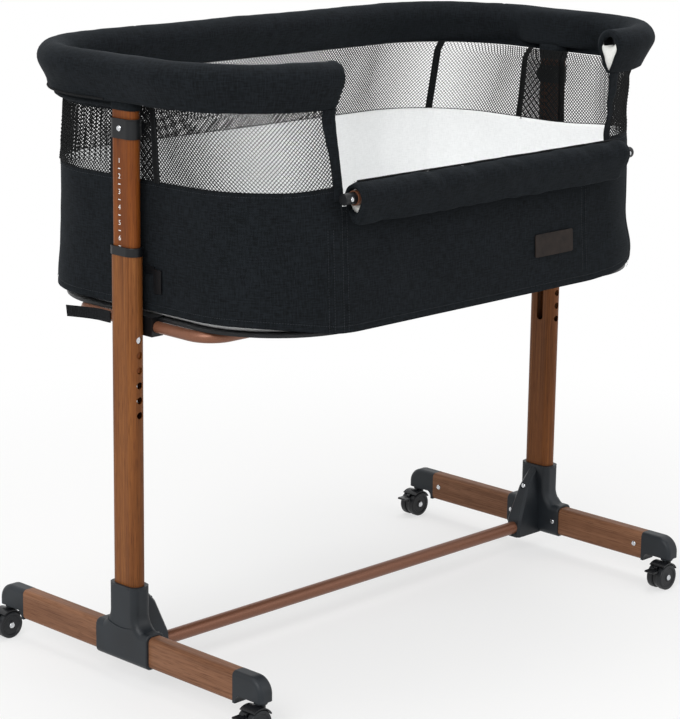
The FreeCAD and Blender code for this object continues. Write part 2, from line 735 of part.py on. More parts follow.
def lock_button():
    """Pressed snap button: its crown follows the post's round edge, just inside the bore."""
    crown_y = -(post_depth / 2 - post_wall - lock_crown_gap)
    bore_gap = post_wall + lock_crown_gap
    back_y = crown_y + lock_button_length
    body = rod(lock_button_radius, Vec(post_x, crown_y - 2, lock_hole_top),
               Vec(post_x, back_y, lock_hole_top))
    body = body.common(oval(post_depth - 2 * bore_gap, post_width - 2 * bore_gap,
                            lock_hole_top - 10, lock_hole_top + 10))
    flange = rod(lock_flange_radius, Vec(post_x, back_y, lock_hole_top),
                 Vec(post_x, back_y + lock_flange, lock_hole_top))
    return body.fuse(flange)


# ---------------------------------------------------------------- bed frame and soft floor
def bed_frame():
    loop = ring(disc_section(frame_radius, frame_wall, frame_z), frame_half_x, frame_half_y,
                frame_corner)
    for side in (-1, 1):
        loop = loop.cut(rod(bolt_shank + seat_gap, Vec(side * bracket_front, 0, frame_z),
                            Vec(side * post_x, 0, frame_z)))
    return loop


def basket_wire(z, inset):
    """Inside or outside line of the fabric wall at a height, straight from hem to top edge."""
    rise = (z - wall_hem_z) / (wall_top_z - wall_hem_z)
    half_y = wall_hem_y + (wall_top_y - wall_hem_y) * rise
    corner = wall_corner_hem + (wall_corner_top - wall_corner_hem) * rise
    return rounded_wire(wall_half_x - inset, half_y - inset, corner - inset, z)


def basket_shell(z0, z1, outside, inside):
    outer = Part.makeLoft([basket_wire(z0, outside), basket_wire(z1, outside)], True, True)
    return outer.cut(Part.makeLoft([basket_wire(z0, inside), basket_wire(z1, inside)], True, True))


board_bottom = frame_z + frame_radius + seat_gap
board_inset = wall_thick + soft_gap


def bracket_room(height):
    """Space kept free round both lower brackets, up to a height above them."""
    half_y = bracket_half_y + soft_gap
    room = box(bracket_front - soft_gap, post_x, -half_y, half_y, bracket_bottom, height)
    return room.fuse(mirror_x(room))


def base_board():
    wire = basket_wire(board_bottom, board_inset)
    board = prism(wire, Z_AXIS * board_thick)
    return board.cut(bracket_room(bracket_top))


def mattress():
    low = board_bottom + board_thick + soft_gap
    inset = wall_thick + liner_gap + liner_thick + 2
    steps = [(0.0, mattress_draw), (0.16, 1.5), (0.34, 0.0), (0.58, 0.0), (0.78, 2.5),
             (0.92, mattress_draw), (1.0, mattress_draw * 4)]
    wires = []
    for share, draw in steps:
        z = low + share * (mattress_thick - mattress_crown)
        wires.append(rounded_wire(wall_half_x - inset - draw, wall_top_y - inset - draw,
                                  wall_corner_top - inset - draw, z))
    crown_inset = inset + mattress_draw * 10
    wires.append(rounded_wire(wall_half_x - crown_inset, wall_top_y - crown_inset,
                              wall_corner_top - crown_inset, low + mattress_thick))
    return Part.makeLoft(wires, True, True)


def side_wall():
    shell = basket_shell(wall_hem_z, wall_top_z, 0, wall_thick)
    shell = shell.cut(box(-gap_half, gap_half, -2 * wall_hem_y, 0, wall_front_z, wall_top_z + 1))
    # the hem rises in a curve over the brackets at both ends
    start = wall_half_x - hem_rise_start
    middle = (wall_half_x - 0.6 * hem_rise_start,
              wall_hem_z + 0.26 * (wall_end_hem_z - wall_hem_z))
    hem = outline([(start, wall_hem_z - 5), (start, wall_hem_z),
                   (middle, (wall_half_x - hem_rise_end, wall_end_hem_z)),
                   (wall_half_x + 5, wall_end_hem_z), (wall_half_x + 5, wall_hem_z - 5)],
                  plane_y=-2 * wall_hem_y)
    under = prism(hem, Y_AXIS * (4 * wall_hem_y))
    return shell.cut(under).cut(mirror_x(under))


def inner_liner():
    low = board_bottom + board_thick + soft_gap
    outside = wall_thick + liner_gap
    shell = basket_shell(low, liner_top_z, outside, outside + liner_thick)
    shell = shell.cut(bracket_room(bracket_top + soft_gap))
    return shell.cut(box(-gap_half, gap_half, -2 * wall_hem_y, 0, wall_front_z - 2, liner_top_z + 1))


def mesh_wires(inset):
    low = wall_top_z + soft_gap / 3
    top = pad_tip_z - pad_tip_radius - soft_gap
    return [rounded_wire(wall_half_x - inset, wall_top_y - inset, wall_corner_top - inset, low),
            rounded_wire(mesh_top_x - inset, mesh_top_y - inset, mesh_corner - inset, mesh_top_z),
            rounded_wire(shoulder_x - inset, shoulder_y - inset, shoulder_corner - inset, top)]


def mesh_band():
    """Mesh window band, with the black zip band that steps out to the rim above it."""
    shell = Part.makeLoft(mesh_wires(0), True, True)
    shell = shell.cut(Part.makeLoft(mesh_wires(mesh_thick), True, True))
    top = rim_z
    slant = gap_half + mesh_slant
    opening = outline([(-gap_half, wall_top_z - 5), (gap_half, wall_top_z - 5),
                       (slant, mesh_top_z), (slant, top), (-slant, top), (-slant, mesh_top_z)],
                      plane_y=-2 * wall_top_y)
    shell = shell.cut(prism(opening, Y_AXIS * (2 * wall_top_y)))
    for side in (-1, 1):
        post = oval(inner_depth + 2 * notch_gap, inner_width + 2 * notch_gap, mesh_top_z - 5, top,
                    side * post_x)
        shell = shell.cut(post)
    return shell


# ---------------------------------------------------------------- rim
def rail_path(radius):
    """Space that the rail's plug goes through on its way into the rim's cup."""
    start = Vec(0, -rim_y, rim_z)
    down = Vec(0, rim_y - rail_y, rail_z - rim_z)
    side = Vec(0, -down.z, down.y)
    side.normalize()
    wire = Part.Wire([Part.makeLine(start + side * radius, start + down + side * radius),
                      Part.makeLine(start + down + side * radius, start + down - side * radius),
                      Part.makeLine(start + down - side * radius, start - side * radius),
                      Part.makeLine(start - side * radius, start + side * radius)])
    return wire


def cup_space(x0, x1, radius):
    wire = moved(rail_path(radius), x0)
    slot = prism(wire, X_AXIS * (x1 - x0))
    return slot.fuse(rod(radius, Vec(x0, -rim_y, rim_z), Vec(x1, -rim_y, rim_z)))


def rim_cup():
    """Black cup in the rim's end: the rail's plug comes up into it through its open lower side."""
    body = rod(cup_bore + cup_wall, Vec(cup_start, -rim_y, rim_z), Vec(cup_end, -rim_y, rim_z))
    body = body.cut(cup_space(cup_start - 1, cup_floor, cup_bore))
    plug = rod(cup_plug_radius, Vec(cup_end - 1, -rim_y, rim_z),
               Vec(cup_end + cup_plug_length, -rim_y, rim_z))
    hole_x = rail_tube_half + plug_reach / 2
    hole = rod(cup_button_hole, Vec(hole_x, -rim_y - 30, rim_z), Vec(hole_x, -rim_y, rim_z))
    return body.fuse(plug).cut(hole)


def rim_tube():
    tube = rim_tube_ring().cut(front_gap(cup_end + seat_gap))
    return tube


def rim_pad_face(inset):
    return Part.Face(drop_wire(pad_top_radius - inset, pad_top_z, pad_tip_radius - inset, pad_tip_z))


def rim_room(radius):
    """What is taken out of the rim's padding: the cups and the plugs' way into them."""
    room = rod(cup_bore + cup_wall + radius, Vec(cup_start - 5, -rim_y, rim_z),
               Vec(cup_end, -rim_y, rim_z))
    room = room.fuse(cup_space(gap_half - 5, cup_floor, cup_bore + radius))
    return room.fuse(mirror_x(room))


def rim_foam():
    pad = ring(rim_pad_face(cover_thick + 0.1), rim_x, rim_y, rim_corner)
    bar = ring(Part.Face(Part.Wire(Part.makeCircle(bar_radius + seat_gap, Vec(0, 0, rim_z), Y_AXIS))),
               rim_x, rim_y, rim_corner)
    pad = pad.cut(bar).cut(front_gap(gap_half + 2)).cut(rim_room(0.2))
    for side in (-1, 1):
        pad = pad.cut(oval(inner_depth + 1, inner_width + 1, 0, rim_z, side * post_x))
    return pad


def rim_skin():
    """Cloth of the whole rim, from the front opening round to the front opening."""
    skin = rim_pad_face(0).cut(rim_pad_face(cover_thick))
    cover = ring(skin, rim_x, rim_y, rim_corner)
    way = cup_space(gap_half - 5, cup_floor, cup_bore)
    return cover.cut(front_gap(gap_half)).cut(way).cut(mirror_x(way))


def rim_cover_end():
    """Sewn end piece of the rim's cover, with the slot for the rail's plug."""
    return rim_skin().common(box(gap_half - 1, gap_half + end_piece, -2 * rim_y, 0, 0, 2 * rim_z))


def rim_cover():
    """Cover behind the end pieces, and the cloth sleeves on the inner posts below it."""
    cover = rim_skin().cut(front_gap(gap_half + end_piece + soft_gap))
    sleeves = []
    for side in (-1, 1):
        x = side * post_x
        cover = cover.cut(oval(inner_depth + 0.6, inner_width + 0.6, 0, rim_z, x))
        sleeve_top = pad_tip_z - pad_tip_radius - soft_gap
        outside = oval(inner_depth + 2 * sleeve_thick, inner_width + 2 * sleeve_thick,
                       sleeve_top - sleeve_height, sleeve_top, x)
        sleeves.append(outside.cut(oval(inner_depth + seat_gap, inner_width + seat_gap,
                                        sleeve_top - sleeve_height, sleeve_top, x)))
    return [cover] + sleeves


# ---------------------------------------------------------------- front rail
def rail_tube():
    start = Vec(-rail_tube_half, -rail_y, rail_z)
    end = Vec(rail_tube_half, -rail_y, rail_z)
    return rod(bar_radius, start, end).cut(rod(bar_radius - bar_wall, start, end))


def rail_pad(inset):
    """Pad along the rail, a teardrop in section, drawn in at both ends like a pillow's corner."""
    stations = [(rail_pad_half, rail_end_shrink), (rail_pad_half - 0.3 * rail_end_round,
                                                   0.35 * rail_end_shrink),
                (rail_pad_half - rail_end_round, 0.0)]
    stations += [(-x, shrink) for x, shrink in reversed(stations)]
    wires = []
    for x, shrink in stations:
        wire = drop_wire(rail_top_radius - shrink - inset, rail_z + rail_top_rise,
                         rail_tip_radius - 0.5 * shrink - inset, rail_z - rail_tip_drop + shrink)
        wires.append(moved(turned(wire, Z_AXIS, 90), x, -rail_y))
    return Part.makeLoft(wires, True, True)


def rail_bar(grow):
    reach = rail_pad_half + 5
    return rod(bar_radius + grow, Vec(-reach, -rail_y, rail_z), Vec(reach, -rail_y, rail_z))


def rail_plug():
    seat = rail_tube_half
    inside = bar_radius - bar_wall - seat_gap
    body = rod(inside, Vec(seat - plug_inside, -rail_y, rail_z), Vec(seat, -rail_y, rail_z))
    nose = rod(plug_radius, Vec(seat, -rail_y, rail_z), Vec(seat + plug_reach, -rail_y, rail_z))
    tip = [e for e in nose.Edges if e.Closed and e.CenterOfMass.x > seat + plug_reach - 0.1]
    nose = nose.makeFillet(1.5, tip)
    body = body.fuse(nose)
    x = seat + plug_reach / 2
    depth = plug_radius + button_crown - button_length - button_travel - 0.5
    bore = rod(button_radius + running_gap, Vec(x, -rail_y - 2 * plug_radius, rail_z),
               Vec(x, -rail_y - depth, rail_z))
    return body.cut(bore).removeSplitter()


def rail_button():
    x = rail_tube_half + plug_reach / 2
    front = -rail_y - plug_radius - button_crown
    body = rod(button_radius, Vec(x, front, rail_z), Vec(x, front + button_length, rail_z))
    rims = [e for e in body.Edges if e.Closed and e.CenterOfMass.y < front + 0.1]
    return body.makeFillet(0.8, rims)


def front_mesh():
    """Slack mesh panel between the lower front wall and the back of the let-down rail."""
    z0 = wall_front_z - front_mesh_drop
    below = math.radians(30)      # it meets the rail's cover under its rounded lower edge
    z1 = rail_z - rail_tip_drop - rail_tip_radius * math.sin(below)
    y0 = -wall_y(z0 - front_mesh_thick) - soft_gap
    y1 = -rail_y + rail_tip_radius * math.cos(below) + soft_gap
    points = [(y0, z0), (y0, z0 - front_mesh_thick), (y1, z1 - front_mesh_thick), (y1, z1)]
    wire = outline(points, plane_x=-front_mesh_half)
    return prism(wire, X_AXIS * (2 * front_mesh_half))


# ---------------------------------------------------------------- trim
def wall_y(z):
    """Half depth of the outside of the fabric wall at a height."""
    return wall_hem_y + (wall_top_y - wall_hem_y) * (z - wall_hem_z) / (wall_top_z - wall_hem_z)


def label_patch():
    x0, x1 = label_x
    z0, z1 = label_z
    shape = rounded_wire((x1 - x0) / 2, (z1 - z0) / 2, 3.0)
    shape = turned(shape, X_AXIS, 90)
    shape = moved(shape, (x0 + x1) / 2, 0, (z0 + z1) / 2)
    patch = prism(shape, Y_AXIS * -label_thick)
    lean = math.degrees(math.atan((wall_hem_y - wall_top_y) / (wall_top_z - wall_hem_z)))
    middle_z = (z0 + z1) / 2
    patch = turned(patch, X_AXIS, -lean, Vec(0, 0, middle_z))
    return moved(patch, 0, -wall_y(middle_z) - soft_gap)


def strap_buckle():
    """Flat bar with a short foot, sewn to the left end wall beside the post."""
    y0, y1 = buckle_y
    z0, z1 = buckle_z
    face = -wall_half_x - seat_gap
    corner = min(2.0, (y1 - y0) / 3)
    flat = rounded_wire((z1 - z0) / 2, (y1 - y0) / 2, corner)
    bar = moved(turned(prism(flat, Z_AXIS * buckle_thick), Y_AXIS, -90),
                face, (y0 + y1) / 2, (z0 + z1) / 2)
    foot = box(face - buckle_thick, face, y1 - 1, buckle_foot_y, z1 - 7, z1 + 3)
    return bar.fuse(foot).removeSplitter()


def strap_tail():
    """Webbing end: a loop round the frame tube at the back left, and its free end outwards."""
    z = frame_z
    outer = frame_radius + strap_thick + seat_gap
    y0 = strap_y - strap_width / 2
    start = Vec(-frame_half_x, y0, z)
    loop = rod(outer, start, start + Y_AXIS * strap_width)
    loop = loop.cut(rod(frame_radius + seat_gap, start, start + Y_AXIS * strap_width))
    half = strap_width / 2
    direction = Vec(-strap_out, strap_turn, 0)
    direction.normalize()
    across = Vec(-direction.y, direction.x, 0)
    root = Vec(-frame_half_x + 2, strap_y, z - outer)
    tip = Vec(-frame_half_x - strap_out, strap_y + strap_turn, z - outer)
    corners = [root + across * half, root - across * half, tip - across * half, tip + across * half]
    tail = prism(Part.makePolygon(corners + [corners[0]]), Z_AXIS * strap_thick)
    under_board = box(-frame_half_x - 2 * outer, -frame_half_x + 2 * outer, y0, y0 + strap_width,
                      board_bottom - seat_gap, board_bottom + outer)
    loop = loop.cut(under_board)
    return loop.fuse(tail).removeSplitter()


# ---------------------------------------------------------------- build
foot = foot_tube()
save("foot_tubes", foot, mirror_x(foot))
cap = foot_cap()
save("foot_cap_rear_right", cap)
save("foot_cap_front_right", mirror_y(cap))
save("foot_cap_rear_left", mirror_x(cap))
save("foot_cap_front_left", mirror_x(mirror_y(cap)))
base = post_base()
save("post_base_right", base)
save("post_base_left", mirror_x(base))
outer = outer_post()
save("outer_post_right", outer)
save("outer_post_left", mirror_x(outer))
guide = collar()
save("post_collars", guide, mirror_x(guide))
save("stretcher_tube", stretcher())
side_screws = base_screws()
save("base_screws", *(side_screws + [mirror_x(one) for one in side_screws]))

caster_pieces = [("caster_fork", fork()),
                 ("caster_axle", axle()),
                 ("brake_lever", brake_lever()),
                 ("caster_wheel_a", wheel(-1)),
                 ("caster_wheel_b", wheel(1))]
for end_name, end in (("front", -1), ("rear", 1)):
    for side_name, side in (("left", -1), ("right", 1)):
        for piece_name, piece in caster_pieces:
            save(piece_name + "_" + end_name + "_" + side_name,
                 moved(piece, side * post_x, end * caster_y))

post = inner_post()
save("inner_post_right", post)
save("inner_post_left", mirror_x(post))
band = top_band()
save("top_bands", band, mirror_x(band))
bracket = lower_bracket()
save("lower_brackets", bracket, mirror_x(bracket))
bed_side_screws = bed_screws()
save("bed_screws", *(bed_side_screws + [mirror_x(one) for one in bed_side_screws]))
button = lock_button()
save("lock_button_right", button)
save("lock_button_left", mirror_x(button))
save("bed_frame_tube", bed_frame())
save("base_board", base_board())
save("mattress", mattress())
save("side_wall", side_wall())
save("inner_liner", inner_liner())
save("mesh_band", mesh_band())
save("rim_tube", rim_tube())
save("rim_foam", rim_foam())
save("rim_cover", *rim_cover())
end_cover = rim_cover_end()
save("rim_cover_ends", end_cover, mirror_x(end_cover))
cup = rim_cup()
save("rim_end_cups", cup, mirror_x(cup))
save("label_patch", label_patch())
save("strap_buckle", strap_buckle())
save("strap_tail", strap_tail())

save("rail_tube", rail_tube())
pad_inside = rail_pad(cover_thick)
save("rail_cover", rail_pad(0).cut(pad_inside).cut(rail_bar(seat_gap)))
save("rail_foam", rail_pad(cover_thick + 0.1).cut(rail_bar(seat_gap)))
plug = rail_plug()
save("rail_plugs", plug, mirror_x(plug))
snap = rail_button()
save("rail_button_right", snap)
save("rail_button_left", mirror_x(snap))
save("front_mesh", front_mesh())
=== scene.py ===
import itertools
import math

import bmesh
import bpy
import numpy as np
from mathutils import Matrix, Vector, noise


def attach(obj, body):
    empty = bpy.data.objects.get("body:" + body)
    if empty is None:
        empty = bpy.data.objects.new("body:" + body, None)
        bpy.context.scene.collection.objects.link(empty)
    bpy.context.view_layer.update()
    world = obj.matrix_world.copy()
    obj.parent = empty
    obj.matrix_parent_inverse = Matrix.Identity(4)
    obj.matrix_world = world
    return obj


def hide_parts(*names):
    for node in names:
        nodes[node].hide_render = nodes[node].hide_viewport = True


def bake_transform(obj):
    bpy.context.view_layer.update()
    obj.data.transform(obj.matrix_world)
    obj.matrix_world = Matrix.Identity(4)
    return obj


# Looks of a bedside sleeper crib. Sizes are in millimetres, as in the part's source, and are
# turned to metres where a mesh is made. X runs along the bed, Y to the back, Z up.

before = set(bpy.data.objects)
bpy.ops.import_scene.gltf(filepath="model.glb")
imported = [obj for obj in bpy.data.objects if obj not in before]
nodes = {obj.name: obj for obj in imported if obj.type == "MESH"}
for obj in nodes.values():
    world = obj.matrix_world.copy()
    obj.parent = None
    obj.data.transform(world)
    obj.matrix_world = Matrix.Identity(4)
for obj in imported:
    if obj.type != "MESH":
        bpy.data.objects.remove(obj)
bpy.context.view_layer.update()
MM = 0.001

# ---------------------------------------------------------------- sizes of the part's source
POST_FACE, POST_MIDDLE = 450.0, 440.0   # outer face and middle of the inner posts
GAP_HALF = 282.0              # half length of the opening for the front rail
HEM_Z, END_HEM_Z, WALL_TOP_Z, WALL_FRONT_Z = 520.0, 530.0, 712.0, 690.0
MESH_TOP_Z, SHOULDER_Z = 806.0, 821.7
# half length, half depth and corner radius of the basket's outside at each height
LEVELS = np.array([[HEM_Z, 418.0, 256.0, 150.0], [WALL_TOP_Z, 418.0, 246.0, 140.0],
                   [MESH_TOP_Z, 421.0, 232.0, 142.0], [SHOULDER_Z, 450.0, 233.5, 158.0]])
RIM = (455.0, 233.0, 160.0)
RIM_TUBE_Z = 868.0
PAD_TOP_R, PAD_TOP_Z, PAD_TIP_R, PAD_TIP_Z = 22.0, 860.8, 5.0, 823.0
RAIL_Y, RAIL_Z, RAIL_HALF = -268.0, 705.0, 276.0
RAIL_TOP_R, RAIL_TIP_R = 20.0, 6.0
RAIL_TOP_Z, RAIL_TIP_Z = RAIL_Z + 2.0, RAIL_Z - 32.0
BOARD_TOP = 525.1
MATTRESS_LOW, MATTRESS_HIGH, MATTRESS_INSET = 525.4, 563.4, 8.5
RIM_BORE, RAIL_BORE = 12.4, 10.6      # round openings of the foams, about the tubes
WEBBING_WIDTH, LINER_INSET = 16.0, 3.6
HEIGHT_STEP, SCALE_TOP_Z = 21.0, 739.0   # numbers of the height scale and the highest one
RAIL_RISE = Vector((0, 35, 163))      # from let down to raised
ROLL_CLOTH = 1.4                      # thickness of the rim's and rail's covers
PIPING_RADIUS = 1.5


# ---------------------------------------------------------------- colour and node helpers
def linear(hex_code):
    """sRGB hex, such as 4a4b4e, as the linear colour that a socket takes."""
    channels = [int(hex_code[i:i + 2], 16) / 255 for i in (0, 2, 4)]
    return tuple(c / 12.92 if c <= 0.04045 else ((c + 0.055) / 1.055) ** 2.4
                 for c in channels) + (1.0,)


def add(tree, kind, inputs=None, **settings):
    """Adds a node; an input is a number or colour, or the socket that it is linked to."""
    node = tree.nodes.new(kind)
    for name, value in settings.items():
        setattr(node, name, value)
    for key, value in (inputs or {}).items():
        socket = node.inputs[key]
        if isinstance(value, bpy.types.NodeSocket):
            tree.links.new(value, socket)
        else:
            socket.default_value = value
    return node


def calc(tree, operation, *values):
    """Math node on numbers or sockets; returns its result."""
    return add(tree, "ShaderNodeMath", dict(enumerate(values)), operation=operation).outputs[0]


def new_material(name, **sockets):
    """A material with one Principled shader; numbers that are the same all over go on its sockets.
    An underscore in a name stands for a space."""
    material = bpy.data.materials.new(name)
    material.use_nodes = True
    tree = material.node_tree
    tree.nodes.clear()
    surface = add(tree, "ShaderNodeBsdfPrincipled",
                  {key.replace("_", " "): value for key, value in sockets.items()})
    add(tree, "ShaderNodeOutputMaterial", {"Surface": surface.outputs["BSDF"]})
    return material, tree, surface


def ramp(tree, factor, stops, surface=None):
    """Colour ramp between (position, hex) stops, put on the surface's colour where it is given."""
    node = add(tree, "ShaderNodeValToRGB", {"Fac": factor})
    elements = node.color_ramp.elements
    while len(elements) < len(stops):
        elements.new(0.5)
    for element, (position, colour) in zip(elements, stops):
        element.position = position
        element.color = linear(colour)
    if surface:
        tree.links.new(node.outputs["Color"], surface.inputs["Base Color"])
    return node.outputs["Color"]


def bump(tree, surface, height, distance, strength):
    """Bump on the surface, of a depth in mm."""
    node = add(tree, "ShaderNodeBump",
               {"Height": height, "Distance": distance * MM, "Strength": strength})
    tree.links.new(node.outputs["Normal"], surface.inputs["Normal"])


def vary(tree, surface, factor, low, high):
    """Roughness between two numbers."""
    span = add(tree, "ShaderNodeMapRange", {"Value": factor, "To Min": low, "To Max": high})
    tree.links.new(span.outputs[0], surface.inputs["Roughness"])


def own_place(tree):
    """The object's own coordinates."""
    return add(tree, "ShaderNodeTexCoord").outputs["Object"]


def speckle(tree, size, detail=2.0, stretch=None):
    """Noise on the object's own coordinates, in lumps of a size in mm, stretched along an axis."""
    scale = [1 / (size * MM)] * 3
    if stretch:
        scale["XYZ".index(stretch[0])] = 1 / (stretch[1] * MM)
    place = add(tree, "ShaderNodeMapping", {0: own_place(tree), 3: tuple(scale)}).outputs[0]
    return add(tree, "ShaderNodeTexNoise",
               {"Vector": place, "Scale": 1.0, "Detail": detail}).outputs[0]


def cloth_place(tree):
    """Lengths along and across the cloth."""
    return add(tree, "ShaderNodeUVMap", uv_map="UVMap").outputs[0]


def weave(tree, coordinates, thread, slub):
    """Plain weave: warp and weft ridges of a thread spacing in mm, with slubs of a length in mm."""
    parts = add(tree, "ShaderNodeSeparateXYZ", {0: coordinates})
    across, along = parts.outputs[0], parts.outputs[1]
    ridges, tones = [], []
    for first, second in ((across, along), (along, across)):
        ridges.append(calc(tree, "SINE", calc(tree, "MULTIPLY", first, math.pi / (thread * MM))))
        stretched = add(tree, "ShaderNodeCombineXYZ", {0: first, 1: second})
        fibre = add(tree, "ShaderNodeMapping",
                    {0: stretched.outputs[0], 3: (1 / (1.6 * thread * MM), 1 / (slub * MM), 1.0)})
        tones.append(add(tree, "ShaderNodeTexNoise", {"Vector": fibre.outputs[0], "Scale": 1.0,
                                                      "Detail": 2.0, "Roughness": 0.6},
                         noise_dimensions="2D").outputs[0])
    tone = calc(tree, "MULTIPLY", calc(tree, "ADD", *tones), 0.5)
    return tone, calc(tree, "MULTIPLY_ADD", tone, 2.0, calc(tree, "MULTIPLY", *ridges))


# ---------------------------------------------------------------- materials
def melange_cloth(name, dark, light, sheen, thread=1.1, slub=14.0):
    """Melange in a plain linen-like weave. Real threads are about 0.5 mm; they are drawn wider so
    that they show."""
    material, tree, surface = new_material(
        name, Roughness=0.9, Specular_IOR_Level=0.12, Sheen_Weight=0.07, Sheen_Roughness=0.5,
        Sheen_Tint=linear(sheen))
    tone, height = weave(tree, cloth_place(tree), thread, slub)
    worn = speckle(tree, 55.0, 3.0)
    ramp(tree, calc(tree, "MULTIPLY_ADD", worn, 0.16, calc(tree, "SUBTRACT", tone, 0.08)),
         [(0.36, dark), (0.62, light)], surface)
    bump(tree, surface, height, 0.12, 0.6)
    return material


# Basket wall, rim and rail: matt, near black with a cold cast and faint lighter slubs.
charcoal_cloth = melange_cloth("charcoal_polyester_linen_weave", "0c0f11", "1a1e22", "66727e")
# White brushed cotton of the liner and mattress.
white_cotton = melange_cloth("white_cotton_liner", "f0f1f1", "f9fafa", "ffffff", 0.9, 10.0)


def ribbed(name, dark, light, pitch):
    """Woven tape with fine cross ribs of a pitch in mm."""
    material, tree, surface = new_material(name, Roughness=0.8, Specular_IOR_Level=0.2)
    along = add(tree, "ShaderNodeSeparateXYZ", {0: cloth_place(tree)}).outputs[0]
    rib = calc(tree, "SINE", calc(tree, "MULTIPLY", along, 2 * math.pi / (pitch * MM)))
    fleck = speckle(tree, 2.5)
    ramp(tree, calc(tree, "MULTIPLY_ADD", rib, 0.12, fleck), [(0.3, dark), (0.7, light)], surface)
    bump(tree, surface, rib, 0.2, 0.8)
    return material


# Grosgrain binding of the windows, and the coarser webbing of the strap: black polyester.
binding_tape = ribbed("black_grosgrain_binding", "08090a", "131517", 1.4)
webbing = ribbed("black_polyester_webbing", "090a0b", "1a1c1f", 2.4)


def speckled(name, size, dark, light, **sockets):
    """Material of one colour with a faint speckle, in lumps of a size in mm."""
    material, tree, surface = new_material(name, **sockets)
    ramp(tree, speckle(tree, *size), [dark, light], surface)
    return material


# Warp-knitted polyester net: black multifilament yarn with a slight gloss.
net_yarn = speckled("black_polyester_net_yarn", (1.1, 1.0), (0.35, "050606"), (0.7, "0f1113"),
                    Roughness=0.7, Specular_IOR_Level=0.2)

# Polyurethane foam: pale, open-celled, fully matt.
pale_foam, tree, surface = new_material("pale_polyurethane_foam", Roughness=1.0, IOR=1.4)
cells = add(tree, "ShaderNodeTexVoronoi",
            {"Vector": own_place(tree), "Scale": 700.0}).outputs["Distance"]
ramp(tree, cells, [(0.0, "e2e2dd"), (0.6, "f6f6f2")], surface)
bump(tree, surface, cells, 0.4, 0.7)


def wood_print(name, along, dark, middle, light):
    """Wood-print film on steel tube: satin walnut brown, fine grain lines along the tube."""
    material, tree, surface = new_material(name, Roughness=0.48, Specular_IOR_Level=0.22)
    grain = speckle(tree, 2.4, 3.0, (along, 190.0))
    pores = speckle(tree, 0.9, 1.0, (along, 26.0))
    cloud = speckle(tree, 17.0, 2.0, (along, 300.0))
    mixed = calc(tree, "MULTIPLY_ADD", cloud, 0.5, calc(tree, "MULTIPLY", grain, 0.5))
    body = ramp(tree, mixed, [(0.36, dark), (0.5, middle), (0.64, light)])
    streaks = ramp(tree, pores, [(0.56, "ffffff"), (0.66, "9a8578")])
    shade = add(tree, "ShaderNodeMix", {0: 0.5, 6: body, 7: streaks},
                data_type="RGBA", blend_type="MULTIPLY")
    tree.links.new(shade.outputs[2], surface.inputs["Base Color"])
    vary(tree, surface, pores, 0.42, 0.56)
    bump(tree, surface, pores, 0.04, 0.2)
    return material


walnut_outer = wood_print("walnut_print_on_outer_tube", "Z", "653915", "78461f", "895529")
walnut_inner = wood_print("walnut_print_on_inner_tube", "Z", "5e2f0b", "733b10", "864a18")
walnut_foot = wood_print("walnut_print_on_foot_tube", "Y", "714b33", "835a40", "93694e")

# Copper-coloured metallic lacquer on steel tube: warm brown, softly glossy, finely speckled.
copper_lacquer, tree, surface = new_material("copper_lacquered_steel", Metallic=0.35, Roughness=0.4)
flake = speckle(tree, 0.7, 1.0)
ramp(tree, flake, [(0.3, "6e4430"), (0.7, "8c5d45")], surface)
vary(tree, surface, flake, 0.32, 0.46)


def moulded(name, dark, light, rough, grit):
    """Injection-moulded polymer: fine spark-eroded texture of a grit in mm, cold dark grey."""
    material, tree, surface = new_material(name, Roughness=rough, Specular_IOR_Level=0.3)
    drift = speckle(tree, 55.0)
    ramp(tree, drift, [(0.3, dark), (0.7, light)], surface)
    vary(tree, surface, drift, rough - 0.05, rough + 0.07)
    bump(tree, surface, speckle(tree, grit), 0.05, 0.35)
    return material


slate_plastic = moulded("slate_moulded_polypropylene", "1b1f23", "252a2f", 0.44, 0.7)
black_plastic = moulded("black_moulded_nylon", "0b0c0e", "141619", 0.38, 0.6)
caster_plastic = moulded("black_glossy_caster_nylon", "0f1012", "17181b", 0.25, 1.0)
wheel_tread = moulded("black_polyurethane_tread", "151618", "202225", 0.42, 1.2)
sewing_thread = moulded("black_sewing_thread", "23272b", "33383d", 0.55, 0.5)

# Chrome-plated steel screws and buttons.
chrome = speckled("chrome_plated_steel", (3.0,), (0.3, "b9bbbe"), (0.7, "dddfe2"),
                  Metallic=1.0, Roughness=0.2)

# Dark brown leather patch, bare: fine pebble grain, a faint mottle, and a soft gloss.
leather, tree, surface = new_material("dark_brown_leather", Roughness=0.6,
                                      Specular_IOR_Level=0.15)
pebble = add(tree, "ShaderNodeTexVoronoi",
             {"Vector": own_place(tree), "Scale": 1 / (1.3 * MM)})
ramp(tree, speckle(tree, 17.0, 4.0), [(0.3, "1f1a18"), (0.7, "2e2622")], surface)
bump(tree, surface, pebble.outputs["Distance"], 0.12, 0.5)

# White pad-printed ink of the height scale.
scale_ink = speckled("white_printed_ink", (1.1,), (0.3, "e6e6e4"), (0.7, "fafaf8"),
                     Roughness=0.6, IOR=1.5)

FINISHES = [
    (walnut_foot, ("foot_tube",)), (walnut_outer, ("outer_post",)), (walnut_inner, ("inner_post",)),
    (slate_plastic, ("post_base", "foot_cap")), (leather, ("label_patch",)),
    (chrome, ("lock_button", "rail_button", "caster_axle", "base_screws", "bed_screws")),
    (caster_plastic, ("caster_fork", "brake_lever")), (wheel_tread, ("caster_wheel",)),
    (black_plastic, ("post_collars", "top_bands", "lower_brackets", "rim_end_cups", "rail_plugs",
                     "base_board", "strap_buckle")),
    (copper_lacquer, ("stretcher_tube", "bed_frame_tube", "rim_tube", "rail_tube"))]
for finish, starts in FINISHES:
    for node, piece in nodes.items():
        if node.startswith(starts):
            for slot in piece.material_slots:
                slot.material = finish
            if not piece.material_slots:
                piece.data.materials.append(finish)


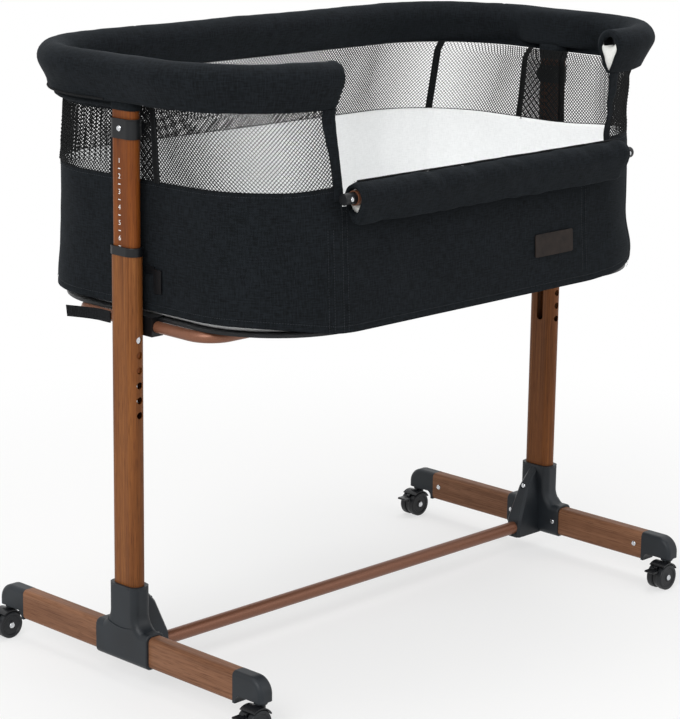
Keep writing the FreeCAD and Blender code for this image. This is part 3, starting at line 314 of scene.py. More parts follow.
# ---------------------------------------------------------------- shapes round the basket
def loop_point(half_x, half_y, corner, w):
    """Points and outward directions on a rounded rectangle. w is 0 at the front's middle and
    runs to the right: 1 and 2 end the front and its corner, 3 the right end; 5 is the back's
    middle."""
    w, half_x, half_y, corner = np.broadcast_arrays(
        np.mod(np.asarray(w, float), 10.0), half_x, half_y, corner)
    v = np.where(w <= 5, w, 10 - w)
    sign = np.where(w <= 5, 1.0, -1.0)
    front, back = (np.clip(v - k, 0, 1) * math.pi / 2 for k in (1, 3))
    nx = np.where(v < 3, np.sin(front), np.cos(back))
    ny = np.where(v < 3, -np.cos(front), np.sin(back))
    x = (half_x - corner) * np.clip(np.minimum(v, 5 - v), 0, 1) + corner * nx
    y = (half_y - corner) * np.clip(2 * v - 5, -1, 1) + corner * ny
    return np.stack([x * sign, y], -1), np.stack([nx * sign, ny], -1)


def lifted(xy, z):
    """Points of a plan (..., 2) at their heights."""
    return np.concatenate([xy, np.broadcast_to(z, xy.shape[:-1])[..., None]], -1)


def near(w, centre, reach):
    """1 at the centre, fading to both sides."""
    return np.exp(-((np.asarray(w, float) - centre) / reach) ** 2)


def pull(w, z):
    """How far the photographed cloth stands out of the part's even corners: the rear left corner is
    fuller, the front right one slimmer, and both swell above the hem."""
    swell = near(z, 548.0, 34.0)
    flare = 10.0 * smooth(z, 745, 812)
    return near(w, 6.5, 0.8) * (7.0 + 4.0 * swell) + near(w, 1.5, 0.5) * (8.5 * swell - 3.5 + flare)


def skin(w, z, out=0.0):
    """Point on the outside of the wall, net and zip band at a height, moved out along it."""
    out = out + pull(w, z)
    half_x, half_y, corner = (np.interp(z, LEVELS[:, 0], LEVELS[:, k]) + out for k in (1, 2, 3))
    return lifted(loop_point(half_x, half_y, corner, w)[0], z)


def gap_w(z, gap):
    """w at x = gap on the front of the basket's outside, at a height."""
    half_x, corner = (np.interp(z, LEVELS[:, 0], LEVELS[:, k]) for k in (1, 3))
    flat = half_x - corner
    turn = np.arcsin(np.clip((gap - flat) / corner, 0, 1)) / (math.pi / 2)
    return np.where(gap <= flat, gap / flat, 1 + turn)


def even_w(half_x, half_y, corner, start, end, step):
    """w values about step mm apart, from start to end, with the distance of each along the loop."""
    bend = corner * math.pi / 2
    flat_x, flat_y = half_x - corner, 2 * (half_y - corner)
    lengths = np.cumsum([0, flat_x, bend, flat_y, bend, 2 * flat_x, bend, flat_y, bend, flat_x])
    first, last = np.interp([start, end], STOPS, lengths)
    along = np.linspace(first, last, max(2, int(round((last - first) / step)) + 1))
    return np.interp(along, lengths, STOPS), along


STOPS = np.array([0, 1, 2, 3, 4, 6, 7, 8, 9, 10], float)
# distance along the net's band at each stop
BAND_RUN = np.cumsum([0, 278, 221.5, 200, 221.5, 556, 221.5, 200, 221.5, 278])


def w_of_run(run):
    """w at a distance along the net's band."""
    return np.interp(run, BAND_RUN, STOPS)


def run_of_w(w):
    """Distance along the net's band at w."""
    return np.interp(w, STOPS, BAND_RUN)


def noise_field(points, scale, seed, depth=2):
    """Smooth noise about -1 to 1 at points (n, 3) in mm; scale is the size of its lumps in mm."""
    shift = Vector((seed * 17.3, seed * 9.1, seed * 5.7))
    return np.array([noise.fractal(Vector(p) / scale + shift, 1.0, 2.0, depth)
                     for p in points.reshape(-1, 3)]).reshape(points.shape[:-1])


def noise_on(u, v, scale, seed, depth=1):
    """Noise on two lengths in mm."""
    u, v = np.broadcast_arrays(u, v)
    return noise_field(np.stack([u, v, 0 * u], -1), scale, seed, depth)


def smooth(x, low, high):
    """Smooth step from 0 at low to 1 at high."""
    t = np.clip((np.asarray(x, float) - low) / (high - low), 0, 1)
    return t * t * (3 - 2 * t)


def dent(x, centre, half_width):
    """1 at the centre and 0 from a half width on."""
    return 1 - smooth(np.abs(np.asarray(x, float) - centre), 0, half_width)


# ---------------------------------------------------------------- meshes
def placed(name, data):
    """Object of some data, in the scene."""
    holder = bpy.data.objects.new(name, data)
    bpy.context.scene.collection.objects.link(holder)
    return holder


def build(name, points, faces, material, corners_uv=None, smooth_faces=True, edges=()):
    """Mesh object from points in mm; corners_uv holds a pair in mm for each face's corner."""
    mesh = bpy.data.meshes.new(name)
    mesh.from_pydata((np.asarray(points, float) * MM).tolist(), list(edges), faces)
    if corners_uv is not None:
        layer = mesh.uv_layers.new(name="UVMap")
        layer.data.foreach_set("uv", (np.asarray(corners_uv, float) * MM).ravel())
    mesh.polygons.foreach_set("use_smooth", [smooth_faces] * len(mesh.polygons))
    mesh.materials.append(material)
    mesh.update()
    return placed(name, mesh)


def grid_piece(name, grid, u, v, material, around=False, thick=0.0, offset=-1.0):
    """Sheet through a grid of points (rows, columns, 3) with u, v lengths in mm at each point;
    around joins the last column to the first. thick gives the cloth its thickness, inwards."""
    rows, columns = grid.shape[:2]
    u, v = (np.broadcast_to(a, (rows, columns)) for a in (u, v))
    if around:
        u, v = (np.concatenate([a, a[:, -1:] + (a[:, -1:] - a[:, :1]) / (columns - 1)], 1)
                for a in (u, v))
    faces, corners = [], []
    for i, j in itertools.product(range(rows - 1), range(columns if around else columns - 1)):
        square = ((i, j), (i, j + 1), (i + 1, j + 1), (i + 1, j))
        faces.append([a * columns + b % columns for a, b in square])
        corners += [(u[a, b], v[a, b]) for a, b in square]
    piece = build(name, grid.reshape(-1, 3), faces, material, corners)
    if thick:
        wall = piece.modifiers.new("cloth_thickness", "SOLIDIFY")
        wall.thickness = thick * MM
        wall.offset = offset
    return piece


def round_turns(count):
    return np.linspace(0, 2 * math.pi, count, endpoint=False)


def piping(name, path):
    """Thin round cord of binding cloth along a path in mm."""
    ahead = np.gradient(path, axis=0)
    ahead /= np.linalg.norm(ahead, axis=1, keepdims=True)
    across = np.cross(ahead, (0.03, 0.02, 1.0))
    across /= np.linalg.norm(across, axis=1, keepdims=True)
    over = np.cross(across, ahead)
    turns = round_turns(8)
    ring = (across[:, None] * np.cos(turns)[None, :, None]
            + over[:, None] * np.sin(turns)[None, :, None]) * PIPING_RADIUS + path[:, None]
    run = np.arange(len(ring))[:, None] * 4.0
    return grid_piece(name, ring, run, turns * PIPING_RADIUS, binding_tape, around=True)


def roll_piece(name, grid, ends, along, run):
    """Roll of cloth. ends holds the rings that are added at its first and at its last end."""
    full = np.concatenate([np.array(ends[0][::-1]), grid, np.array(ends[1])], 0)
    extra = np.arange(1, len(ends[0]) + 1) * 3.0
    lengths = np.concatenate([along[0] - extra[::-1], along, along[-1] + extra])
    return grid_piece(name, full, run[None, :], lengths[:, None], charcoal_cloth, around=True,
                      thick=ROLL_CLOTH)


def foam_piece(name, rings, seed, rough, flip):
    """Cut end of a foam through rings of points, rough in mm on each axis where it shows."""
    grid = np.array(rings)
    grid[1:-1] += noise_field(grid[1:-1], 7.0, seed)[..., None] * np.array(rough)
    if flip:
        grid = grid[:, ::-1]
    return grid_piece(name, grid, np.arange(grid.shape[1])[None, :] * 3.0,
                      np.arange(len(rings))[:, None] * 4.0, pale_foam, around=True)


def distances(points):
    """Distance of each point along a line of points."""
    return np.cumsum([0] + [np.linalg.norm(b - a) for a, b in zip(points[:-1], points[1:])])


def drop_line(top_r, top_z, tip_r, tip_z, count):
    """Teardrop of the pads from the middle of its lower edge, up the outside and down the inside:
    (out, z) points with even spacing, outward directions and the distance along."""
    tilt = math.asin((tip_r - top_r) / (top_z - tip_z))
    counts, stops = (12, 60, 12), (-math.pi / 2, tilt, math.pi - tilt, 1.5 * math.pi)
    bends = np.concatenate([np.linspace(*span) for span in zip(stops, stops[1:], counts)])
    radius = np.repeat([tip_r, top_r, tip_r], counts)
    height = np.repeat([tip_z, top_z, tip_z], counts)
    dense = np.stack([radius * np.cos(bends), height + radius * np.sin(bends), bends], -1)
    run = np.concatenate([[0], np.cumsum(np.linalg.norm(np.diff(dense[:, :2], axis=0), axis=1))])
    even = np.linspace(0, run[-1], count + 1)[:-1]
    line = np.stack([np.interp(even, run, dense[:, k]) for k in range(3)], -1)
    return line[:, :2], np.stack([np.cos(line[:, 2]), np.sin(line[:, 2])], -1), even


# ---------------------------------------------------------------- padded rim
# rings of the hem at the rim's open ends: step along the rim and shrink towards its middle
HEM_TURN = [(-2.6, 1.4), (-3.4, 3.0), (-1.6, 4.6), (4.0, 5.0)]
POST_CLEAR = 27.8             # how far the cover's inner side stands off the rim's line at a post


def rim_roll():
    """Cover of the rim's padding: a teardrop roll round the C of the rim. It bulges over the inner
    posts, and at its two open ends the cloth turns in round the cup and the foam."""
    half_x, half_y, corner = RIM
    start = (GAP_HALF + 2.5) / (half_x - corner)
    w, along = even_w(half_x, half_y, corner, start, 10 - start, 5.0)
    line, away, run = drop_line(PAD_TOP_R, PAD_TOP_Z, PAD_TIP_R, PAD_TIP_Z, 36)
    line, away = line[::-1], away[::-1]
    # the posts run up inside the cover: its inner side stands off them
    y = loop_point(half_x, half_y, corner, w)[0][:, 1]
    at_post = (1 - smooth(np.abs(y), 24, 88)) * ((w > 2) & (w < 3) | (w > 7) & (w < 8))
    out = line[None, :, 0] + 0 * w[:, None]
    inner_side = smooth(-away[:, 0], 0.1, 0.75) * smooth(line[:, 1], 823, 829)
    reach = np.minimum(out, -POST_CLEAR + 3.4 * smooth(line[None, :, 1], 866, 884))
    out = out + (reach - out) * at_post[:, None] * inner_side[None, :]
    out = out + (3.0 * near(w, 6.5, 0.7) + 6.0 * near(w, 1.5, 0.5))[:, None]
    xy, _ = loop_point(half_x + out, half_y + out, corner + out, w[:, None])
    grid = lifted(xy, line[:, 1])
    _, side = loop_point(half_x, half_y, corner, w)
    normal = lifted(side[:, None] * away[None, :, :1], away[:, 1])
    # soft unevenness of foam under cloth, and short creases across the roll where it bends
    lumps = noise_field(grid, 75.0, 3) * 1.3 + noise_field(grid, 26.0, 5) * 0.5
    bend = sum(near(w[:, None], k, 0.55) for k in (1.5, 3.5, 6.5, 8.5))
    crease = noise_on(along[:, None], 0.28 * run[None, :], 12.0, 8)
    low = smooth(-grid[:, :, 2], -862, -834)
    lumps = lumps - 1.9 * np.clip(crease, 0, 1) * bend * (0.25 + 0.75 * low)
    seam = sum(dent(along[:, None], at * along[-1], 3.0) for at in (0.335, 0.5, 0.665))
    grid = grid + normal * (lumps * 0.8 - 0.4 - 0.9 * seam)[:, :, None]
    # the hem of each end: thin round the foam below, thick round the cup above
    thick = 0.65 + 0.35 * smooth(line[:, 1], 830, 842) + 1.15 * smooth(line[:, 1], 846, 866)
    rings = []
    for end, inward in ((0, 1.0), (-1, -1.0)):
        rings.append([grid[end] - normal[end] * (shrink * thick)[:, None]
                      + np.array([inward * step, 0, 0]) for step, shrink in HEM_TURN])
    return roll_piece("rim_cover_cloth", grid, rings, along, run)


rim_cloth = rim_roll()


def rim_edge():
    """Flap with a piped edge where the rim's cover ends outside, above the zip band."""
    half_x, half_y, corner = RIM
    w, along = even_w(half_x, half_y, corner, 5.6, 7.35, 5.0)
    wave = noise_on(along, 0, 40.0, 61) * 0.5 + 3.0 * near(w, 6.5, 0.7) - 3.0 * smooth(
        np.abs(w - 6.5), 0.55, 0.9)
    rows = []
    for out, z in ((7.2, 821.0), (8.2, 827.0), (9.2, 832.0), (9.6, 836.0)):
        xy, _ = loop_point(half_x + out + wave, half_y + out + wave, corner + out + wave, w)
        rows.append(lifted(xy, z))
    grid = np.array(rows)
    flap = grid_piece("rim_flap", grid, along[None, :], grid[:, :, 2], charcoal_cloth, thick=1.6)
    return flap, piping("rim_flap_piping", grid[0] - np.array([0, 0, 0.6]))


rim_flap, rim_piping = rim_edge()


def foam_end(name, side):
    """End of the rim's foam as the open end of the cover shows it: a teardrop round the cup."""
    line, _, _ = drop_line(PAD_TOP_R - 3.6, PAD_TOP_Z, PAD_TIP_R - 2.4, PAD_TIP_Z + 0.6, 40)
    turn = np.arctan2(line[:, 1] - RIM_TUBE_Z, line[:, 0])
    bore = np.stack([RIM_BORE * np.cos(turn), RIM_TUBE_Z + RIM_BORE * np.sin(turn)], -1)
    rings = []
    for x, loop in ((304, line), (287.5, line), (286.2, line * 0.94 + bore * 0.06),
                    (285.4, line * 0.5 + bore * 0.5), (286.2, bore), (304, bore)):
        rings.append(np.stack([np.full(len(loop), side * x), loop[:, 0] - RIM[1], loop[:, 1]], -1))
    return foam_piece(name, rings, 71, (0.6, 0.3, 0.3), side < 0)


rim_foams = [foam_end("rim_foam_right", 1), foam_end("rim_foam_left", -1)]


def post_sleeve(name, side):
    """Cloth sleeve where an inner post goes up into the rim."""
    turns = round_turns(40)
    straight = np.clip(np.sin(turns) * 40, -12.5, 12.5)
    rows = []
    for z, out in ((807.0, 1.5), (808.5, 2.2), (813, 1.7), (818, 2.0), (823, 1.9), (829, 2.4)):
        rows.append(np.stack([side * POST_MIDDLE + side * (10 + out) * np.cos(turns),
                              side * (straight + (10 + out) * np.sin(turns)), 0 * turns + z], -1))
    grid = np.array(rows)
    return grid_piece(name, grid, np.arange(40)[None, :] * 2.7, grid[:, :, 2], charcoal_cloth,
                      around=True, thick=1.3)


sleeves = [post_sleeve("post_sleeve_left", -1), post_sleeve("post_sleeve_right", 1)]


# ---------------------------------------------------------------- fabric wall
def wall_top(w):
    """Height of the wall's top edge: it climbs to the front corners and drops in the opening."""
    v = np.where(w <= 5, w, 10 - w)
    climb = np.where(w <= 5, 14.0, 2.0) * (1 - smooth(v, 1.35, 2.45)) + np.where(
        w <= 5, 0.0, 4.0) * (1 - smooth(v, 1.0, 1.4))
    high = WALL_TOP_Z + climb
    edge = gap_w(WALL_FRONT_Z, GAP_HALF)
    return high - (high - WALL_FRONT_Z) * (1 - smooth(v, edge - 0.004, edge + 0.012))


def hem_z(x):
    """Height of the hem, which rises in a curve over the brackets at both ends."""
    rise = (END_HEM_Z - HEM_Z) * smooth(np.abs(x), 288, 400)
    return HEM_Z + rise + 6.0 * smooth(x, 230, 340) + 4.0 * smooth(-x, 260, 350)


# upright seams of the front wall: x, lowest and highest point of each
SEAMS = [(-300, 524, 660), (-276, 524, 690), (220, 540, 663), (345, 524, 716)]


def whole_loop(step):
    """w, and the distance along the wall's top, all round the basket without the last point."""
    w, along = even_w(*LEVELS[1, 1:], 0.0, 10.0, step)
    return w[:-1], along[:-1]


def basket_sheet(name, material, inset, low, high, ripple, step, rows, thick):
    """Closed sheet round the basket between two edge heights given per column."""
    w, along = whole_loop(step)
    base = skin(w, WALL_TOP_Z)
    bottom, top = low(w, base[:, 0]), high(w)
    share = np.linspace(0, 1, rows)[:, None]
    z = bottom[None, :] + (top - bottom)[None, :] * share
    flat = skin(w[None, :], z)
    wave = ripple(flat, along[None, :], share)
    return grid_piece(name, skin(w[None, :], z, wave - inset), along[None, :], z, material,
                      around=True, thick=thick)


def wall_ripple(points, along, share):
    """Cloth pulled between hem and top edge: shallow folds, soft dents, seams, a rolled hem."""
    z = points[:, :, 2]
    hold = np.sin(np.clip(share, 0, 1) * math.pi) ** 0.5
    folds = noise_on(along, 0.25 * z, 60.0, 11) * 0.9
    drag = noise_on(along + 1.2 * z, 0.2 * z, 34.0, 12) * 0.5
    wave = (folds + drag + noise_field(points, 110.0, 13) * 1.4) * hold - 0.5
    front = points[:, :, 1] < 0
    for x, low, high in SEAMS:
        wave -= 1.3 * dent(points[:, :, 0], x, 4.0) * front * smooth(z, low - 8, low) * (
            1 - smooth(z, high, high + 8))
    hem = z - np.min(z, 0, keepdims=True)
    return wave - 0.7 * dent(hem, 9.0, 3.0) + 0.5 * (1 - smooth(hem, 3, 8))


wall_cloth = basket_sheet("side_wall_cloth", charcoal_cloth, 0.0, lambda w, x: hem_z(x), wall_top,
                          wall_ripple, 4.0, 64, 1.6)


# distances along the liner at which its panels are joined
LINER_SEAMS = (388, 562, 644, 820, 1578, 1754, 1836, 2010)


def liner_ripple(points, along, share):
    """Shallow folds between the edges, and a soft ridge at each seam."""
    folds = noise_on(along, 0.3 * points[:, :, 2], 42.0, 21, 2)
    seams = sum(dent(along, at, 6.0) for at in LINER_SEAMS)
    return (folds * 1.6 * np.sin(np.clip(share, 0, 1) * math.pi) ** 0.5 - 0.4
            + 2.2 * seams * smooth(share, 0, 0.1))


liner_cloth = basket_sheet("inner_liner_cloth", white_cotton, LINER_INSET,
                           lambda w, x: BOARD_TOP + 0.6 + 13.0 * smooth(np.abs(x), 220, 340),
                           lambda w: wall_top(w) - 0.6, liner_ripple, 5.0, 36, 1.2)


# ---------------------------------------------------------------- mesh windows
def node_tree(name, wanted, geometry_in=False):
    """Geometry Nodes tree with named inputs; returns the tree, its inputs and their identifiers."""
    tree = bpy.data.node_groups.new(name, "GeometryNodeTree")
    tree.interface.new_socket("Geometry", in_out="OUTPUT", socket_type="NodeSocketGeometry")
    if geometry_in:
        tree.interface.new_socket("Geometry", in_out="INPUT", socket_type="NodeSocketGeometry")
    names = {}
    for label in wanted:
        kind = "Material" if label == "Material" else "Float"
        socket = tree.interface.new_socket(label, in_out="INPUT", socket_type="NodeSocket" + kind)
        names[label] = socket.identifier
    return tree, add(tree, "NodeGroupInput").outputs, names


def finish_tree(tree, geometry, material):
    """Every tree ends in real geometry with its material."""
    real = add(tree, "GeometryNodeRealizeInstances", {0: geometry}).outputs[0]
    painted = add(tree, "GeometryNodeSetMaterial", {"Geometry": real, "Material": material})
    add(tree, "NodeGroupOutput", {0: painted.outputs[0]})


def net_tree():
    """Net: a lattice of yarns at 45 degrees, cut to a rectangle."""
    tree, given, names = node_tree("diamond_net", [
        "Length", "Height", "Cell diagonal", "Yarn width", "Yarn thickness", "Material"])
    half_cell = calc(tree, "MULTIPLY", given["Cell diagonal"], 0.5)
    reach = calc(tree, "ADD", given["Length"], given["Height"])
    count = calc(tree, "DIVIDE", reach, half_cell)
    whole = calc(tree, "CEIL", calc(tree, "MULTIPLY_ADD", count, 0.5, 2.0))
    lattice = add(tree, "GeometryNodeMeshGrid",
                  {"Size X": 1.0, "Size Y": 1.0, "Vertices X": whole, "Vertices Y": whole})
    index = add(tree, "GeometryNodeInputIndex").outputs[0]
    column = calc(tree, "FLOOR", calc(tree, "DIVIDE", index, whole))
    row = calc(tree, "FLOORED_MODULO", index, whole)
    x = calc(tree, "MULTIPLY", calc(tree, "ADD", column, row), half_cell)
    x = calc(tree, "MULTIPLY_ADD", given["Height"], -0.5, x)
    y = calc(tree, "MULTIPLY", calc(tree, "SUBTRACT", column, row), half_cell)
    y = calc(tree, "MULTIPLY_ADD", given["Height"], 0.5, y)
    place = add(tree, "ShaderNodeCombineXYZ", {0: x, 1: y}).outputs[0]
    laid = add(tree, "GeometryNodeSetPosition",
               {"Geometry": lattice.outputs["Mesh"], "Position": place})
    here = add(tree, "GeometryNodeInputPosition").outputs[0]
    parts = add(tree, "ShaderNodeSeparateXYZ", {0: here}).outputs
    outside = None
    for value, limit in ((parts[0], given["Length"]), (parts[1], given["Height"])):
        for side, edge in (("LESS_THAN", -0.0001), ("GREATER_THAN", limit)):
            past = add(tree, "FunctionNodeCompare", {0: value, 1: edge}, operation=side,
                       data_type="FLOAT").outputs[0]
            outside = past if outside is None else add(
                tree, "FunctionNodeBooleanMath", {0: outside, 1: past}, operation="OR").outputs[0]
    cut = add(tree, "GeometryNodeDeleteGeometry",
              {"Geometry": laid.outputs[0], "Selection": outside}, domain="POINT")
    yarns = add(tree, "GeometryNodeMeshToCurve", {"Mesh": cut.outputs[0]})
    section = add(tree, "GeometryNodeCurvePrimitiveQuadrilateral",
                  {"Width": given["Yarn thickness"], "Height": given["Yarn width"]},
                  mode="RECTANGLE")
    tubes = add(tree, "GeometryNodeCurveToMesh",
                {"Curve": yarns.outputs[0], "Profile Curve": section.outputs[0], "Fill Caps": True})
    finish_tree(tree, tubes.outputs[0], given["Material"])
    return tree, names


def stitch_tree():
    """Rows of sewing stitches: short rounded threads along every path of a wire mesh."""
    tree, given, names = node_tree("stitch_row", ["Pitch", "Stitch length", "Thread radius",
                                                  "Material"], geometry_in=True)
    path = add(tree, "GeometryNodeMeshToCurve", {"Mesh": given["Geometry"]})
    spaced = add(tree, "GeometryNodeResampleCurve",
                 {"Curve": path.outputs[0], "Length": given["Pitch"]}, mode="LENGTH")
    ahead = add(tree, "GeometryNodeInputTangent").outputs[0]
    turn = add(tree, "FunctionNodeAlignRotationToVector", {"Vector": ahead}, axis="Z")
    thread = add(tree, "GeometryNodeMeshIcoSphere", {"Radius": 1.0, "Subdivisions": 1})
    half = calc(tree, "MULTIPLY", given["Stitch length"], 0.5)
    size = add(tree, "ShaderNodeCombineXYZ",
               {0: given["Thread radius"], 1: given["Thread radius"], 2: half})
    row = add(tree, "GeometryNodeInstanceOnPoints",
              {"Points": spaced.outputs[0], "Instance": thread.outputs[0],
               "Rotation": turn.outputs[0], "Scale": size.outputs[0]})
    finish_tree(tree, row.outputs[0], given["Material"])
    return tree, names


def worked_out(piece):
    """New mesh with the result of a curve's or a piece's modifiers."""
    bpy.context.view_layer.update()
    graph = bpy.context.evaluated_depsgraph_get()
    return bpy.data.meshes.new_from_object(piece.evaluated_get(graph))


def grown(piece, tree, names, values):
    """Runs a Geometry Nodes tree on the piece and keeps its result as the piece's own mesh."""
    modifier = piece.modifiers.new("grown", "NODES")
    modifier.node_group = tree
    for key, value in values.items():
        modifier[names[key]] = value if key == "Material" else value * MM
    piece.update_tag()
    mesh = worked_out(piece)
    piece.modifiers.clear()
    old = piece.data
    piece.data = mesh
    bpy.data.meshes.remove(old)
    mesh.name = piece.name
    return piece


NET_TREE, NET_NAMES = net_tree()
STITCH_TREE, STITCH_NAMES = stitch_tree()
# the net's cells and yarns are drawn wider than real ones, so that they show; in mm
NET_CELL, YARN, YARN_THICKNESS = 5.5, 1.5, 0.6
STITCH_PITCH, STITCH_LENGTH, THREAD_RADIUS = 3.6, 2.7, 0.28


def flat_net(name, length, height, cell=NET_CELL, yarn=YARN):
    """Flat net of a length and height in mm, as a plain mesh in the XY plane."""
    blank = build(name, np.zeros((0, 3)), [], net_yarn)
    return grown(blank, NET_TREE, NET_NAMES, {
        "Length": length, "Height": height, "Cell diagonal": cell, "Yarn width": yarn,
        "Yarn thickness": YARN_THICKNESS, "Material": net_yarn})


def stitches(name, paths):
    """Rows of stitches along paths in mm, as one piece."""
    points = np.concatenate(paths)
    edges, start = [], 0
    for path in paths:
        edges += [(start + k, start + k + 1) for k in range(len(path) - 1)]
        start += len(path)
    wire = build(name, points, [], sewing_thread, edges=edges)
    return grown(wire, STITCH_TREE, STITCH_NAMES, {
        "Pitch": STITCH_PITCH, "Stitch length": STITCH_LENGTH, "Thread radius": THREAD_RADIUS,
        "Material": sewing_thread})


def reshape(piece, place):
    """Moves every vertex by a function of its flat position in mm: (n, 3) to (n, 3)."""
    flat = np.zeros(len(piece.data.vertices) * 3)
    piece.data.vertices.foreach_get("co", flat)
    placed = place(flat.reshape(-1, 3) / MM) * MM
    piece.data.vertices.foreach_set("co", placed.ravel())
    piece.data.update()
    return piece


def gathers(run, z):
    """Upright gathers of the nets, closest at the left end: how far they stand out, in mm."""
    rise = smooth(z, WALL_TOP_Z + 2, WALL_TOP_Z + 30) * (1 - 0.6 * smooth(z, 790, 806))
    fine = np.sin(run / 1.75 + 0.9 * np.sin(run / 15.0) + 0.02 * (z - WALL_TOP_Z))
    left, right = near(run, run_of_w(7.0) - 35, 75.0), near(run, BAND_RUN[1] + 120, 60.0)
    slow = np.sin(run / 11.0 + 0.03 * (z - 760)) * 0.8
    return ((left * 2.7 + right * 1.8) * fine + slow) * rise


def opening_x(z, side):
    """The opening's edge beside the rail: nearly upright at the left, waisted at the right."""
    if side < 0:
        return 279.5 + 2.0 * smooth(z, 712, 806)
    return 269.0 + 12.0 * smooth(z, 728, 762) + 6.0 * smooth(z, 770, 806)


def opening_w(z, side):
    """w of the opening's edge."""
    edge = gap_w(z, opening_x(z, side))
    return edge if side > 0 else 10 - edge


NET_LOW, NET_HIGH = 708.0, 820.5


def band_place(run, z, out):
    """Point of the net at a distance along the band; near the opening it follows the edge."""
    w = w_of_run(run)
    for side, edge, share in ((1, first_run, 1 - smooth(run, first_run, first_run + 100)),
                              (-1, last_run, smooth(run, last_run - 100, last_run))):
        w = w + (opening_w(z, side) - w_of_run(edge)) * share
    point = skin(w, z - 0.6 * np.maximum(z - MESH_TOP_Z, 0), out + gathers(run, z))
    point[..., 2] = z
    return point


first_w = float(gap_w(760.0, 281.0))
first_run, last_run = run_of_w(first_w), run_of_w(10 - first_w)
middle_right, middle_left = run_of_w(2.5), run_of_w(7.5)


def band_net(name, start, end, lift=-0.9, cell=NET_CELL, yarn=YARN):
    """Net window between two distances along the band, from the wall's top up to the zip band."""
    height = NET_HIGH - NET_LOW
    net = flat_net(name, end - start, height, cell=cell, yarn=yarn)

    def place(flat):
        run = start + np.clip(flat[:, 0], 0, end - start)
        share = np.clip(flat[:, 1] / height, 0, 1)
        bottom = wall_top(w_of_run(run)) - 4.0
        bottom = np.maximum(bottom, NET_LOW)
        z = bottom + (NET_HIGH - bottom) * share
        return band_place(run, z, flat[:, 2] + lift)

    return reshape(net, place)


corner_right, corner_left = run_of_w(3.5), run_of_w(6.5)
windows = [("net_front_right", first_run, middle_right - 4),
           ("net_rear_right", middle_right - 4, corner_right),
           ("net_rear_left", corner_left, middle_left + 4),
           ("net_front_left", middle_left + 4, last_run), ("net_back", corner_right, corner_left)]
band_nets = [band_net(*window) for window in windows] + [
    band_net(name, start, start + 80, lift=-3.4, cell=3.6, yarn=1.05) for name, start in (
        ("net_second_layer_right", middle_right - 35), ("net_second_layer_left", middle_left - 45))]


def band_tape(name, run, width):
    """Upright tape over the net, its middle at a distance along the band."""
    z = np.linspace(WALL_TOP_Z - 2, NET_HIGH, 24)[:, None]
    across = run + np.linspace(-0.5, 0.5, 7)[None, :] * width
    grid = band_place(*np.broadcast_arrays(across, z), 0.6)
    return grid_piece(name, grid, z, across, binding_tape, thick=1.3, offset=0.0)


TAPE_FRONT, TAPE_BACK = 36, 46.5      # tapes before and behind a post, from its middle
tape_list = [("tape_back_right", corner_right, 11.0), ("tape_back_left", corner_left, 11.0),
             ("tape_right_front", middle_right - TAPE_FRONT, 11.0),
             ("tape_right_back", middle_right + TAPE_BACK, 10.0),
             ("tape_left_back", middle_left - TAPE_BACK, 10.0),
             ("tape_left_front", middle_left + TAPE_FRONT, 11.0)]
tapes = [band_tape(*tape) for tape in tape_list]


def edge_tape(name, side):
    """Binding down the edge of the opening, from under the rim to the wall's front edge."""
    z = np.linspace(WALL_FRONT_Z + 8, SHOULDER_Z - 2, 34)[:, None]
    across = np.linspace(0, 1, 7)[None, :]
    width = 14 + 7 * smooth(z, 740, 812)
    grid_z, grid_a = np.broadcast_arrays(z, across)
    w = gap_w(grid_z, opening_x(grid_z, side) + grid_a * width)
    w = w if side > 0 else 10 - w
    crumple = noise_on(grid_a * 20, grid_z, 13.0, 81 + side) * 1.1
    grid = skin(w, grid_z, 0.9 + crumple - 1.6 * grid_a)
    if side < 0:
        grid = grid[:, ::-1]
    return grid_piece(name, grid, z, across * 18.0, charcoal_cloth, thick=2.0, offset=0.0)


opening_tapes = [edge_tape("opening_binding_right", 1), edge_tape("opening_binding_left", -1)]


# the zip band's section: share of the way from the net's top out to the shoulder, and height
ZIP_STEPS = ((0, 800.0), (0, 804.0), (0.1, 806.5), (0.6, 807.6), (0.76, 810.0), (0.78, 813.0),
             (0.74, 814.2), (0.78, 815.4), (0.82, 820.0), (1.0, 824.0), (1.0, 827.0))


def zip_band():
    """Black band with the zip, from the top of the net out to the underside of the rim."""
    start = float(gap_w(MESH_TOP_Z, 284.0))
    w, along = even_w(*LEVELS[2, 1:], start, 10 - start, 4.0)
    # only the left end shows the band; elsewhere it is a narrow edge under the rim
    low = smooth(w, 5.5, 5.9) * (1 - smooth(w, 7.35, 7.6))
    wave = noise_on(along, 0, 30.0, 91) * 0.6 + 0.6
    rows = []
    for share, z in ZIP_STEPS:
        edge = max(z, 818.0 + 0.3 * (z - 800))
        part = share * low + (0.8 + 0.2 * share) * (1 - low)
        ring = skin(w, MESH_TOP_Z + (SHOULDER_Z - MESH_TOP_Z) * part, wave)
        ring[:, 2] = z * low + edge * (1 - low)
        rows.append(ring)
    grid = np.array(rows)
    return grid_piece("zip_band", grid, along[None, :], np.arange(len(rows))[:, None] * 4.0,
                      charcoal_cloth, thick=1.4, offset=0.0)


zip_cloth = zip_band()


# ---------------------------------------------------------------- front rail roll
def rail_mouth(line, x, widen=0.0):
    """Opening of the rail's cover round the tube and a little lower, at the points of a loop."""
    turn = np.arctan2(line[:, 1] - RAIL_Z + 4, line[:, 0])
    drop = np.where(np.sin(turn) < 0, 1.3, 1.0)
    size = 13.4 + widen
    return np.stack([0 * turn + x, RAIL_Y + size * np.cos(turn),
                     RAIL_Z - 2.5 + size * drop * np.sin(turn)], -1)


